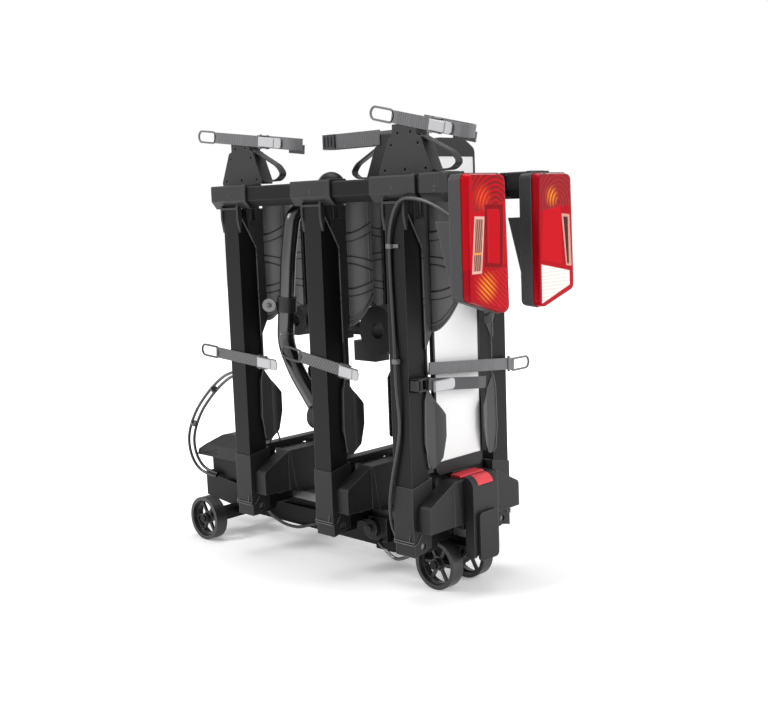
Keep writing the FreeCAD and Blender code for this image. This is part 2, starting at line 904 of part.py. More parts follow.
# Rear block that closes the beam, rounded along its top, with the pedal's pocket below
def rear_block():
    side = [(block_start, block_bottom), (block_end - 3, block_bottom), (block_end, block_bottom + 4),
            (block_end, block_top), (block_start, block_top)]
    body = prism("XZ", side, -block_half, block_half * 2,
                 rounded=(block_round, lambda end: end.z > block_top - 1 and end.x > block_end - 1))
    reach = release_half + release_gap
    inner = arc_points(block_round - release_thickness + 0.2, 90, 8)
    rim = [(block_end + 1, inner[-1][1]), (block_end + 1, block_top + 1), (inner[0][0], block_top + 1)]
    recess = prism("XZ", inner + rim, -reach, reach * 2)
    pocket = box((block_end - 16, block_end + 1), (-pedal_half - 0.5, pedal_half + 0.5),
                 (block_bottom - 1, pedal_axis_height + knuckle_radius + 4))
    pin = rod(pedal_pin_radius, (pedal_axis_x, -pedal_half - 4, pedal_axis_height), pedal_half * 2 + 8, "Y")
    return [cut(body, [recess, pocket]), pin]


# Red tilt release that lies round the block's top edge, hinged at its inner end
barrel_radius = release_thickness / 2
barrel_reach = block_round - barrel_radius + 0.6
barrel = (round_x + barrel_reach * math.cos(math.radians(84)), -release_half,
          round_height + barrel_reach * math.sin(math.radians(84)))
skin = arc_points(block_round + 0.6, 84, 12)
release_side = skin + list(reversed(arc_points(block_round + 0.6 - release_thickness, 84, 12)))
keep(fuse([prism("XZ", release_side, -release_half, release_half * 2),
           rod(barrel_radius, barrel, release_half * 2, "Y")], "tilt_release"), "tilt_release")

# Red folding button on top of the right-hand cover, hinged along its right end
button_level = cover_peak + seat_gap
button_end = button_start + button_length - button_height / 2
keep(fuse([box((button_start, button_end), (-button_half, button_half),
               (button_level, button_level + button_height)),
           rod(button_height / 2, (button_end, -button_half, button_level + button_height / 2),
               button_half * 2, "Y")], "fold_button"), "fold_button")


# Foot pedal, folded up against the rear block, its knuckle in the block's pocket
def pedal():
    start = block_end + release_gap
    points = [(-pedal_half, pedal_bottom), (pedal_half, pedal_bottom),
              (pedal_half, pedal_bottom + pedal_height), (-pedal_half, pedal_bottom + pedal_height)]
    board = prism("YZ", points, start, pedal_thickness, rounded=(pedal_round,))
    hole = rod(pedal_pin_radius + pin_gap, (pedal_axis_x, -pedal_half - 1, pedal_axis_height),
               pedal_half * 2 + 2, "Y")
    half = pedal_half - pedal_round - 1
    knuckle = rod(knuckle_radius, (pedal_axis_x, -half, pedal_axis_height), half * 2, "Y")
    web = box((pedal_axis_x, start + 1), (-half, half), (pedal_axis_height - 3, pedal_axis_height + 3))
    return cut(fuse([board, knuckle, web]), [hole], "foot_pedal")


keep(pedal(), "foot_pedal")


# Carrier casting under the rear block, on the rear axle
def wheel_carrier():
    side = [(beam_end, beam_bottom), (rear_wheel_x - 30, beam_bottom - 6), (rear_wheel_x - 8, wheel_radius - 12),
            (rear_wheel_x + 10, wheel_radius - 12), (block_start - 4, block_bottom + 4),
            (block_start, block_bottom + 10), (block_start, beam_top), (beam_end, beam_top)]
    body = prism("XZ", side, -carrier_half, carrier_half * 2)
    bore = rod(axle_radius, (rear_wheel_x, -carrier_half - 1, wheel_radius), carrier_half * 2 + 2, "Y")
    window = box((rear_wheel_x + 34, rear_wheel_x + 42), (-carrier_half - 1, carrier_half + 1),
                 (beam_top - 14, beam_top - 6))
    return cut(body, [bore, window])


keep(fuse(rear_block() + [wheel_carrier()], "rear_block"), "rear_block")


# Spoked wheel: a tyre band, a pierced web and a hub on its axle
def wheel(x, y, name):
    low = y - wheel_width / 2
    start = (x, low, wheel_radius)
    disc = rod(wheel_radius, start, wheel_width, "Y")
    inner = wheel_radius - tyre_thickness
    web_low = y - wheel_web / 2
    near_dish = rod(inner, (x, low - 1, wheel_radius), wheel_width / 2 - wheel_web / 2 + 1, "Y")
    far_dish = rod(inner, (x, y + wheel_web / 2, wheel_radius), wheel_width / 2, "Y")
    hub = rod(hub_radius, start, wheel_width, "Y")
    tools = [near_dish, far_dish]
    step = 360 / spoke_count
    for number in range(int(spoke_count)):
        corners = []
        for radius, shares in ((window_inner, (-1, 1)), (window_outer, (1, 0.35, -0.35, -1))):
            half = step / 2 - math.degrees(math.asin(spoke_width / 2 / radius))
            for share in shares:
                angle = math.radians(step * (number + 0.5) + half * share)
                corners.append((x + radius * math.cos(angle), wheel_radius + radius * math.sin(angle)))
        tools.append(prism("XZ", corners, web_low - 1, wheel_web + 2))
    bore = rod(axle_radius + axle_gap, (x, low - 1, wheel_radius), wheel_width + 2, "Y")
    return keep(cut(fuse([cut(disc, tools), hub]), [bore], name), name)


wheel(rear_wheel_x, -rear_wheel_y, "wheel_rear_near")
wheel(rear_wheel_x, rear_wheel_y, "wheel_rear_far")
wheel(front_wheel_x, -front_wheel_y, "wheel_front_near")
wheel(front_wheel_x, front_wheel_y, "wheel_front_far")


# Axle right through a pair of wheels, with a head outside each
def axle(x, y):
    reach = y + wheel_width / 2 + wheel_side_gap
    shaft = rod(axle_radius, (x, -reach, wheel_radius), reach * 2, "Y")
    near_head = rod(axle_head_radius, (x, -reach - axle_head_length, wheel_radius), axle_head_length, "Y")
    far_head = rod(axle_head_radius, (x, reach, wheel_radius), axle_head_length, "Y")
    return [shaft, near_head, far_head]


rear_axle = fuse(axle(rear_wheel_x, rear_wheel_y))
front_reach = front_wheel_y - wheel_width / 2 - wheel_side_gap
half_front = front_beam_width / 2
front_low = wheel_radius - front_beam_height / 2
front_beam = box((front_wheel_x - half_front, front_wheel_x + half_front), (-front_reach, front_reach),
                 (front_low, front_low + front_beam_height))
front_axle = fuse(axle(front_wheel_x, front_wheel_y) + [front_beam])
keep(group([rear_axle, front_axle], "axles"), "axles")


# Coupling head: side cheeks and a top round the tow-ball cup
def coupling():
    cup_outer = cup_radius + cup_wall
    block = [(coupling_start, coupling_bottom), (coupling_start, coupling_top),
             (beam_start - 30, coupling_low_top), (beam_start, coupling_low_top),
             (beam_start, beam_bottom), (front_wheel_x + half_front, beam_bottom),
             (front_wheel_x + half_front, front_low + front_beam_height),
             (front_wheel_x - half_front - 6, front_low + front_beam_height)]
    body = prism("XZ", block, -coupling_half, coupling_half * 2)
    seat = rod(cup_outer, (socket_x, 0, coupling_bottom - 10), cup_height + 26, "Z")
    works = box((coupling_start + 14, beam_start - 40), (-hood_half + 14, hood_half - 14),
                (coupling_low_top + 7, hood_base))
    return fuse([cut(body, [seat]), works])


cup_low_level = socket_height - cup_height / 2
cup_skin = rod(cup_radius + cup_wall, (socket_x, 0, cup_low_level), cup_height + 18, "Z")
cup_bore = rod(cup_radius, (socket_x, 0, cup_low_level - 1), cup_height + 1, "Z")
cup_dome = doc.addObject("Part::Sphere", helper())
cup_dome.Radius = float(cup_radius)
bind(cup_dome, "Radius", cup_radius)
place(cup_dome, socket_x, Size(0), cup_low_level + cup_height - 10)
keep(cut(cup_skin, [cup_bore, cup_dome], "ball_cup"), "ball_cup")


# Moulded hood over the coupling: sloping nose and sides, open below
def hood():
    base = hood_base
    low = base + 4
    side = [(hood_start, base), (hood_start + 4, low + 8), (hood_start + 50, hood_peak - 16),
            (hood_start + 74, hood_peak - 4), (hood_start + 100, hood_peak), (hood_end, hood_peak - 4),
            (hood_end, base)]
    body = prism("XZ", side, -hood_half, hood_half * 2)
    slant = [(hood_half - 14, hood_peak + 1), (hood_half + 1, hood_peak + 1), (hood_half + 1, low + 20)]
    tools = []
    for hand in (-1, 1):
        points = [(y * hand, z) for y, z in slant]
        tools.append(prism("YZ", points, hood_start - 1, hood_end - hood_start + 2))
    hollow = [(hood_start + 16, base + 5), (hood_start + 70, base + 5), (hood_start + 70, base + 20)]
    tools.append(prism("XZ", hollow, -hood_half - 1, 4))
    tools.append(prism("XZ", hollow, hood_half - 3, 4))
    return cut(body, tools, "coupling_hood")


keep(hood(), "coupling_hood")


# Coupling lever behind the hood, hinged between two cheeks on the coupling head
def lever():
    low = lever_pivot_height
    back = lever_pivot_x + lever_length
    side = [(lever_pivot_x - 9, low - 8), (lever_pivot_x + 9, low - 8), (lever_pivot_x + 22, low + 26),
            (back, low + 36), (back, low + 44), (lever_pivot_x + 12, low + 34)]
    body = prism("XZ", side, -lever_half, lever_half * 2)
    start = (lever_pivot_x, -lever_half - 1, low)
    return cut(body, [rod(lever_pin_radius + pin_gap, start, lever_half * 2 + 2, "Y")], "coupling_lever")


keep(lever(), "coupling_lever")


# Cheeks and pin that carry the coupling lever
def lever_mount():
    low = coupling_low_top - 1
    pieces = []
    for y in (-lever_half - lever_gap - 5, lever_half + lever_gap):
        pieces.append(box((lever_pivot_x - 12, lever_pivot_x + 12), (y, y + 5),
                          (low, lever_pivot_height + 10)))
    reach = lever_half + lever_gap + 4
    pieces.append(rod(lever_pin_radius, (lever_pivot_x, -reach, lever_pivot_height), reach * 2, "Y"))
    return pieces


keep(fuse([coupling()] + lever_mount(), "coupling_head"), "coupling_head")


# Number-plate frame standing between the wings, and the bare plate in it
def plate_frame():
    side = plate_half - frame_chamfer_y
    outer = [(-plate_half, plate_bottom), (plate_half, plate_bottom),
             (plate_half, plate_top - frame_chamfer_z), (side, plate_top), (-side, plate_top),
             (-plate_half, plate_top - frame_chamfer_z)]
    inside = plate_half - frame_side
    low = plate_bottom + frame_foot
    high = plate_top - frame_head
    inner = [(-inside, low), (inside, low), (inside, high), (-inside, high)]
    body = prism("YZ", outer, plate_x, frame_depth, rounded=(frame_round,))
    pocket = prism("YZ", inner, plate_x + frame_depth - number_plate_thickness - 1,
                   number_plate_thickness + 2)
    return cut(body, [pocket], "plate_frame")


keep(plate_frame(), "plate_frame")
inside = plate_half - frame_side
keep(box((plate_x + frame_depth - number_plate_thickness - 1, plate_x + frame_depth - 1),
         (-inside, inside), (plate_bottom + frame_foot, plate_top - frame_head), "number_plate"),
     "number_plate")


# Mast on the beam with a domed head that carries the telescopic arm
mast_sides = [(mast_x - mast_half, -mast_half), (mast_x + mast_half, -mast_half),
              (mast_x + mast_half, mast_half), (mast_x - mast_half, mast_half)]
mast_post = prism("XY", mast_sides, tube_top, mast_top - tube_top, rounded=(mast_round,))
dome = doc.addObject("Part::Sphere", helper())
dome.Radius = float(dome_radius)
bind(dome, "Radius", dome_radius)
head_x = mast_x + 6
head_seat = mast_top + knurl_height
place(dome, head_x, Size(0), head_seat + dome_height - dome_radius)
dome_low = box((head_x - dome_radius - 1, head_x + dome_radius + 1),
               (-dome_radius - 1, dome_radius + 1), (head_seat - dome_radius * 2, head_seat - 1))
knurl = rod(knurl_radius, (head_x, Size(0), mast_top), knurl_height, "Z")
mast_head = fuse([cut(dome, [dome_low]), knurl])
mast_bore = box((mast_x - mast_half + mast_wall, mast_x + mast_half - mast_wall),
                (-mast_half + mast_wall, mast_half - mast_wall), (tube_top - 1, mast_top - mast_wall))


# Telescopic arm: a bent upper tube held by a socket on the mast, and a bent lower tube that
# slides over its straight end
slide_top = Vector(-103, -78, 560)
slide_way = Vector(-0.12403, 0, -0.99228)


def slide_point(height):
    """The point at a height on the straight line the lower tube slides along."""
    return slide_top + slide_way * ((float(height) - slide_top.z) / slide_way.z)


arm_points = [Vector(-70, -45, 668), Vector(-92, -74, 632), slide_top, slide_point(collar_level - 36)]
collar_start = slide_point(collar_level + collar_height)
lower_points = [collar_start, slide_point(collar_level - 58), Vector(-100, -74, 352),
                Vector(-60, -66, 292)]


def arm_socket():
    top, knee = arm_points[:2]
    ahead = (knee - top).normalize()
    sleeve = Part.makeCylinder(arm_radius + 4, 22, top - ahead * 2, ahead)
    bridge = Part.makeBox(mast_half * 1.2, 16, 18, Vector(mast_x - 10, -mast_half - 16, 650))
    bore = Part.makeCylinder(arm_radius + 0.1, 60, top, ahead)
    return sleeve.fuse(bridge).cut(bore).removeSplitter()


keep(group([cut(fuse([mast_post, shaped(arm_socket())]), [mast_bore]), mast_head], "mast"), "mast")
keep(shaped(swept(arm_points, arm_radius, 0.25), "upper_arm"), "upper_arm")


def lower_arm():
    depth = collar_height + 39
    bore = Part.makeCylinder(arm_radius + arm_clearance, depth + 10, collar_start - slide_way * 10,
                             slide_way)
    return swept(lower_points, lower_arm_radius, 0.4).cut(bore)


keep(shaped(lower_arm(), "lower_arm"), "lower_arm")


# Clamping collar round the lower tube's top end, and the round lock knob on its front
facing = Vector(0.7, -0.714, 0)
leftward = Vector(-0.714, -0.7, 0)
collar_middle = collar_start + slide_way * float(collar_height) / 2
lock_centre = collar_middle + leftward * float(lock_reach - 5)


def arm_collar():
    ring = Part.makeCylinder(collar_radius, collar_height, collar_start, slide_way)
    boss = Part.makeCylinder(lock_radius - 8, lock_reach - 6, collar_middle, leftward)
    bore = Part.makeCylinder(lower_arm_radius + 0.1, collar_height * 2, collar_start - slide_way * 10,
                             slide_way)
    pad = Part.makeCylinder(lock_radius - 1, 12, lock_centre - facing * 8, facing)
    return ring.fuse(boss).cut(bore).fuse(pad).removeSplitter()


keep(shaped(arm_collar(), "arm_collar"), "arm_collar")
keep(shaped(Part.makeCylinder(lock_radius, lock_length, lock_centre + facing * 4.3, facing), "lock_knob"),
     "lock_knob")


# Padded jaw at the arm's end that closes round a bicycle frame
def frame_jaw():
    end = lower_points[-1]
    ahead = (end - lower_points[-2]).normalize()
    centre = end + ahead * float(holder_radius)
    across = Vector(1, 0, 0)
    start = centre - across * float(holder_width) / 2
    outer = Part.makeCylinder(holder_radius, holder_width, start, across)
    inner = Part.makeCylinder(holder_bore, holder_width * 2, start - across * 10, across)
    mouth = Part.makeBox(holder_width * 2, 16, 40, Vector(start.x - 10, start.y - 8, start.z - 40))
    tube = swept(lower_points, lower_arm_radius + 0.05, 0.4)
    print("jaw centre", centre, "lock centre", lock_centre)
    return outer.cut(inner).cut(mouth).cut(tube)


keep(shaped(frame_jaw(), "frame_jaw"), "frame_jaw")


# Second frame holder, folded down between the wings on its own short tubes
def folded_holder():
    level = 428
    clasp = box((mast_x - mast_half - 6, mast_x + mast_half + 6), (-mast_half - 6, mast_half + 6),
                (level - 22, level + 22))
    post = box((mast_x - mast_half, mast_x + mast_half), (-mast_half, mast_half), (level - 30, level + 30))
    right = rod(12, (mast_x + mast_half + 4, Size(0), level), 74, "X")
    left = rod(12, (mast_x - mast_half - 64, Size(0), level + 8), 60, "X")
    drum = rod(drum_radius, (mast_x + 126, -drum_half, level), drum_half * 2, "Y")
    bore = rod(holder_bore, (mast_x + 126, -drum_half - 1, level), drum_half * 2 + 2, "Y")
    chin = box((mast_x + 66, mast_x + 120), (-drum_half, drum_half), (level - 56, level - 20))
    cheek = rod(28, (mast_x - 88, -drum_half, level + 8), drum_half * 2, "Y")
    slit = rod(10, (mast_x - 88, -drum_half - 1, level + 8), drum_half * 2 + 2, "Y")
    return cut(fuse([clasp, right, left, drum, chin, cheek]), [post, bore, slit], "folded_holder")


keep(folded_holder(), "folded_holder")


# Pull-out wheel holder: a tapered head on a stem in the tray, with a wire loop at its side
def holder(x, hand):
    middle = x - 4 * hand
    knee = head_top - head_shoulder
    half = [(head_half - 1, head_bottom), (head_half, head_bottom + 6), (shoulder_half, knee),
            (neck_half, head_top - head_neck), (neck_half, head_top)]
    points = [(middle - a, z) for a, z in half] + [(middle + a, z) for a, z in reversed(half)]
    front = -head_outer if hand > 0 else head_outer - head_depth
    head = prism("XZ", points, front, head_depth)
    inner = head_outer - head_depth + 6
    side = (-inner - stem_depth, -inner) if hand > 0 else (inner, inner + stem_depth)
    stem = box((x - stem_half, x + stem_half), side, (stem_start, head_bottom + 1))
    screws = []
    for a, z in ((-44, 8), (0, 8), (44, 8), (-29, 48), (29, 48), (-14, 66), (14, 66)):
        face = -head_outer - 1 if hand > 0 else head_outer - 3
        screws.append(rod(screw_hole_radius, (middle + a, face, head_bottom + z), 4, "Y"))
    y = (-head_outer + head_depth / 2) * hand
    low = Vector(middle + 48 * hand, y, head_bottom + 4)
    high = Vector(middle + 26 * hand, y, knee + 4)
    tip = Vector(x + loop_reach * hand, y, head_bottom + 15)
    path = [low, tip + Vector(-14 * hand, 0, -10), tip, tip + Vector(-12 * hand, 0, 15), high]
    loop = shaped(band(path, loop_width, loop_thickness, 0.4, Vector(0, 1, 0)))
    return fuse([cut(head, screws), stem, loop])


keep(group([holder(rail_x_left, 1)], "near_holder_left"), "near_holder_left")
keep(group([holder(rail_x_right, 1)], "near_holder_right"), "near_holder_right")
keep(group([holder(rail_x_middle, -1)], "far_holder_middle"), "far_holder_middle")


# Ratchet strap round a holder's head, with a pull ring at its free end
def top_strap(ring_x, turn_x, tail_x, level, end):
    front = -head_outer - strap_thickness / 2
    back = -head_outer + head_depth + strap_thickness / 2
    turn = turn_x - (back - front) / 2
    points = [Vector(ring_x, front, level), Vector(turn_x, front, level), Vector(turn_x, back, level),
              Vector(end, back, level)]
    solid = band(points, strap_width, strap_thickness, 0.49)
    tail_y = back + strap_thickness + 0.2
    tail = band([Vector(turn_x - 4, tail_y - 1, level - 9), Vector(tail_x, tail_y - 1, level - 9)],
                strap_width - 4, strap_thickness)
    eye = ring(Vector(ring_x - ring_length / 2 + 6, front, level), ring_length, ring_width,
               ring_hole, strap_thickness, Vector(1, 0, 0))
    return solid.multiFuse([tail, eye]).removeSplitter()


left_lean = (rail_x_left + 37, strap_level + 2, 6.86)
right_lean = (rail_x_right + 51, strap_level, 12.6)
left_wheel_lean = (rail_x_left + 26, wheel_strap_height, 4.1)
middle_wheel_lean = (rail_x_middle + 26, wheel_strap_height + 3, 8.8)
left_top = shaped(top_strap(rail_x_left - 77, rail_x_left + 145, rail_x_left + 101, left_lean[1],
                            rail_x_left + 14), "near_top_strap_left")
keep(tilted(left_top, *left_lean), "near_top_strap_left")
right_top = shaped(top_strap(rail_x_right - 29, rail_x_right + 127, rail_x_right + 77, right_lean[1],
                             rail_x_right + 14), "near_top_strap_right")
keep(tilted(right_top, *right_lean), "near_top_strap_right")


def far_top_strap():
    front = head_outer + strap_thickness / 2
    back = head_outer - head_depth - strap_thickness / 2
    left = rail_x_middle - 171
    points = [Vector(rail_x_middle + 77, front, strap_level), Vector(left, front, strap_level),
              Vector(left, back, strap_level), Vector(rail_x_middle - 14, back, strap_level)]
    solid = band(points, strap_width + 7, strap_thickness, 0.49)
    cap = Part.makeBox(32, 3, 27, Vector(left + 15, head_outer + strap_thickness, strap_level - 13.5))
    for number in range(3):
        cap = cap.cut(Part.makeBox(3, 5, 17, Vector(left + 20 + number * 9, head_outer + strap_thickness - 1,
                                                    strap_level - 8.5)))
    return solid.fuse(cap).removeSplitter()


keep(shaped(far_top_strap(), "far_top_strap_middle"), "far_top_strap_middle")


# Ratchet lever: a handle lying on its strap, turned about a pin through its rounded end
def latch(start, end, face, level, name, pivot_end):
    low = face - latch_thickness if face < 0 else face
    round_off = latch_thickness / 2
    near_end = start + (round_off if pivot_end < 0 else 0)
    far_end = end - (round_off if pivot_end > 0 else 0)
    height = (level - strap_width / 2 + 1, level + strap_width / 2 - 1)
    handle = box((near_end, far_end), (low, low + latch_thickness), height)
    pivot = far_end if pivot_end > 0 else near_end
    knuckle = rod(round_off, (pivot, low + round_off, height[0]), strap_width - 2, "Z")
    tip = start if pivot_end > 0 else end
    slot = box((tip - 9, tip + 9), (low - 1, low + latch_thickness + 1), (level - 4, level + 4))
    return cut(fuse([handle, knuckle]), [slot], name)


latch_face = -head_outer - strap_thickness - strap_gap
lever = latch(rail_x_left + 57, rail_x_left + 118, latch_face, left_lean[1], "top_latch_left", 1)
keep(tilted(lever, *left_lean), "top_latch_left")
lever = latch(rail_x_right + 55, rail_x_right + 102, latch_face, right_lean[1], "top_latch_right", 1)
keep(tilted(lever, *right_lean), "top_latch_right")
lever = latch(rail_x_middle - 77, rail_x_middle - 31, -latch_face, strap_level, "top_latch_middle", -1)
keep(lever, "top_latch_middle")


# Wheel straps through the waist of the trays on the near wing
def wheel_strap(ring_x, end_x, level):
    front = -wing_half - strap_thickness / 2
    solid = band([Vector(ring_x, front, level), Vector(end_x, front, level)], strap_width, strap_thickness)
    eye = ring(Vector(ring_x - ring_length / 2 + 6, front, level), ring_length, ring_width,
               ring_hole, strap_thickness, Vector(1, 0, 0))
    return solid.fuse(eye).removeSplitter()


left_strap = shaped(wheel_strap(rail_x_left - 58, rail_x_left + 110, left_wheel_lean[1]))
middle_strap = shaped(wheel_strap(rail_x_middle - 45, rail_x_middle + 97, middle_wheel_lean[1]))
wheel_face = -wing_half - strap_thickness - strap_gap
lever = latch(rail_x_left + 64, rail_x_left + 118, wheel_face, left_wheel_lean[1], "wheel_latch_left", 1)
keep(tilted(lever, *left_wheel_lean), "wheel_latch_left")
lever = latch(rail_x_middle + 58, rail_x_middle + 104, wheel_face, middle_wheel_lean[1],
              "wheel_latch_middle", 1)
keep(tilted(lever, *middle_wheel_lean), "wheel_latch_middle")


# Strap of the right-hand tray: a buckle on the rail's side and a band to the far wing
def cross_strap():
    x = rail_x_right + 36
    buckle = Part.makeBox(15, 35, 22, Vector(rail_x_right + half_rail, -wing_half + 2, 349))
    points = [Vector(x, -wing_half + 28, 360), Vector(x, 36, 346), Vector(x - 3, 52, 344)]
    return band(points, strap_width, strap_thickness, 0.3).fuse(buckle).removeSplitter()


near_cross = shaped(cross_strap())
keep(group([tilted(left_strap, *left_wheel_lean), tilted(middle_strap, *middle_wheel_lean), near_cross],
           "near_wheel_straps"), "near_wheel_straps")


def far_strap():
    x = rail_x_right + 27
    solid = band([Vector(x, wing_half + 12, 364), Vector(x, -wing_half + 41, 383)], strap_width,
                 strap_thickness)
    eye = ring(Vector(x, wing_half + 30, 362), ring_length, ring_width, ring_hole, strap_thickness,
               Vector(0, 1, 0))
    anchor = Part.makeBox(x - 1 - (rail_x_right + half_rail), 20, 14,
                          Vector(rail_x_right + half_rail, wing_half - 22, 359))
    buckle = Part.makeBox(3, 34, 22, Vector(x + 1.5, wing_half - 34, 355))
    return solid.multiFuse([eye, anchor, buckle]).removeSplitter()


keep(shaped(far_strap(), "far_wheel_strap"), "far_wheel_strap")
lever_x = rail_x_right + 37.5 + strap_gap
lever_end = -wing_half + 90
lever_low = Size(346)
keep(fuse([box((lever_x, lever_x + latch_thickness), (-wing_half + 38, lever_end - 2.5), (lever_low, lever_low + 18)),
           rod(latch_thickness / 2, (lever_x + latch_thickness / 2, lever_end - 2.5, lever_low), 18, "Z")],
          "wheel_latch_right"), "wheel_latch_right")


# Ribbed knob and its bent wire beside the beam
def tilt_pivot():
    plate = box((knob_x - 15, knob_x + 30), (-beam_half - 10, -beam_half), (beam_bottom + 12, tube_bottom + 5))
    knob = rod(knob_radius, (knob_x, -knob_reach, knob_height), knob_reach - beam_half - 9, "Y")
    nut = rod(7, (knob_x, -knob_reach - 5, knob_height), 6, "Y")
    return fuse([plate, knob, nut], "tilt_pivot")


keep(tilt_pivot(), "tilt_pivot")
wire_points = [Vector(65, -37.3, 57), Vector(72, -50, 57), Vector(92, -59, 52), Vector(121, -60, 37),
               Vector(146, -57, 46), Vector(152, -41, 56), Vector(152, -27.3, 60)]
keep(shaped(swept(wire_points, wire_radius, 0.4), "stand_wire"), "stand_wire")

# Cables: lamp cable down the right rail, loom over the coupling, cable under the beam
lamp_route = [Vector(326.5, -128.6, 628), Vector(300, -130, 643), Vector(262, -131, 655),
              Vector(222, -131, 655), Vector(200, -129, 610), Vector(197, -127.3, 560),
              Vector(198.6, -127.3, 500), Vector(201, -127.4, 440), Vector(204, -130.6, 392),
              Vector(206, -130.6, 338), Vector(208, -127.6, 300), Vector(204, -129, 262), Vector(188, -130, 206),
              Vector(178, -130, 150), Vector(168, -108, 98), Vector(162, -66, 68),
              Vector(158, -27.3, 62)]
keep(shaped(swept(lamp_route, cable_radius), "lamp_cable"), "lamp_cable")
loom_route = [Vector(-229.3, -100, 346), Vector(-268, -97, 340), Vector(-330, -80, 316),
              Vector(-385, -71, 281), Vector(-433, -65, 240), Vector(-467, -60, 191),
              Vector(-470, -57, 152), Vector(-456, -53, 122), Vector(-430, -48, 108),
              Vector(-402, -43.3, 106)]
keep(shaped(swept(loom_route, cable_radius), "outer_loom"), "outer_loom")
beam_route = [Vector(-262, -28, 56), Vector(-238, -32, 46), Vector(-200, -34, 37),
              Vector(-160, -34, 38), Vector(-126, -30, 50), Vector(-96, -27.4, 58)]
keep(shaped(swept(beam_route, cable_radius), "beam_cable"), "beam_cable")

doc.recompute()

broken = []
for thing in doc.Objects:
    if "Invalid" in thing.State or "Error" in thing.State:
        broken.append(thing.Name)
for name, thing in nodes.items():
    if thing.Shape.isNull() or not thing.Shape.isValid():
        broken.append(name)
if broken:
    raise ValueError("objects that failed: " + ", ".join(broken))

os.makedirs("parts", exist_ok=True)
for name, thing in nodes.items():
    thing.Shape.exportStep(os.path.join("parts", name + ".step"))
    print(name, len(thing.Shape.Solids), round(thing.Shape.Volume / 1000, 1), "cm3")
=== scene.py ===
import bpy
import bmesh
import math
from mathutils import Matrix, Vector


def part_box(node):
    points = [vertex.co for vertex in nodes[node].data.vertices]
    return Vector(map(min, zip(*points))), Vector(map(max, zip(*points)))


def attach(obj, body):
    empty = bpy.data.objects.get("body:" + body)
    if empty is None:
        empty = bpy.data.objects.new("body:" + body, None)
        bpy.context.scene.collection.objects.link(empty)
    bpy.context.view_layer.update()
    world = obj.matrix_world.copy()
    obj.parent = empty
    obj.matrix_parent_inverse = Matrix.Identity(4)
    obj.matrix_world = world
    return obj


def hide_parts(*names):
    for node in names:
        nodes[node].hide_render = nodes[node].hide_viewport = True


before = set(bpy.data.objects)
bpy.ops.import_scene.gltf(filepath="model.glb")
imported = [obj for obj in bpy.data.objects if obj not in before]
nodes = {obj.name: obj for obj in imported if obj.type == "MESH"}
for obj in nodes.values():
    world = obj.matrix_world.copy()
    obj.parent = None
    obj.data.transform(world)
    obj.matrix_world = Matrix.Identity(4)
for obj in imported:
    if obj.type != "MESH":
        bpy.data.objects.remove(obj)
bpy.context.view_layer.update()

# Camera: stands 0.64 m above the floor, 2 m off the rear near corner, and looks a little down. Its
# place was fitted to the rails, wheels and top bars of the photograph.
def placed(name, data):
    """A new object of the scene."""
    made = bpy.data.objects.new(name, data)
    bpy.context.scene.collection.objects.link(made)
    return made


azimuth, dip, tilt = math.radians(44.5), math.radians(7.42), math.radians(-2.114)
ahead = Vector((-math.sin(azimuth) * math.cos(dip), math.cos(azimuth) * math.cos(dip),
                -math.sin(dip)))
level_right = Vector((math.cos(azimuth), math.sin(azimuth), 0))
level_up = level_right.cross(ahead)
right = level_right * math.cos(tilt) + level_up * math.sin(tilt)
up = level_up * math.cos(tilt) - level_right * math.sin(tilt)
camera = placed("camera", bpy.data.cameras.new("camera"))
camera.data.sensor_width = 36
camera.data.lens = 52.03
camera.matrix_world = Matrix((right, up, -ahead)).transposed().to_4x4()
camera.location = (1.8219, -1.3889, 0.5716)
bpy.context.scene.camera = camera
bpy.context.scene.view_settings.view_transform = "Standard"


# Lamp cable: one black 6 mm cable from the near lamp, over the top bar's clamp, down the right
# rail and under the rack to the beam, held to the rail by two small clips.
def mm(x, y, z):
    """A point given in the rack's millimetres, measured from the floor, in the frame's metres."""
    return Vector((x + 405, y, z - 72)) / 1000


def cord_curve(name, points, diameter):
    curve = bpy.data.curves.new(name, "CURVE")
    curve.dimensions = "3D"
    curve.bevel_depth = 1
    curve.bevel_resolution = 4
    curve.use_fill_caps = True
    spline = curve.splines.new("NURBS")
    spline.points.add(len(points) - 1)
    for point, place in zip(spline.points, points):
        point.co = (*place, 1)
        point.radius = diameter / 2
    spline.order_u = 3
    spline.use_endpoint_u = True
    spline.resolution_u = 12
    return placed(name, curve)


lamp_route = [mm(326.5, -128.6, 628), mm(300, -130, 643), mm(262, -131, 655),
              mm(222, -131, 655), mm(200, -129, 610), mm(197, -127.3, 560),
              mm(198.6, -127.3, 500), mm(201, -127.4, 440), mm(204, -130.6, 392),
              mm(206, -130.6, 338), mm(208, -127.6, 300), mm(204, -129, 262), mm(188, -130, 206),
              mm(178, -130, 150), mm(168, -108, 98), mm(162, -66, 68), mm(158, -27.3, 62)]
lamp_cable = cord_curve("lamp_cable_run", lamp_route, 0.006)
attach(lamp_cable, "near_wing")
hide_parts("lamp_cable")

# Loom at the coupling end: black sheathed cable that loops out past the hood in one free arc. Its
# upper end lies at the left rail, its lower end under the hood.
loom_route = [mm(-229.3, -100, 346), mm(-268, -97, 340), mm(-330, -80, 316), mm(-385, -71, 281),
              mm(-433, -65, 240), mm(-467, -60, 191), mm(-470, -57, 152), mm(-456, -53, 122),
              mm(-430, -48, 108), mm(-402, -43.3, 106)]
loom = cord_curve("loom_run", loom_route, 0.006)
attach(loom, "base")
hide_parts("outer_loom")


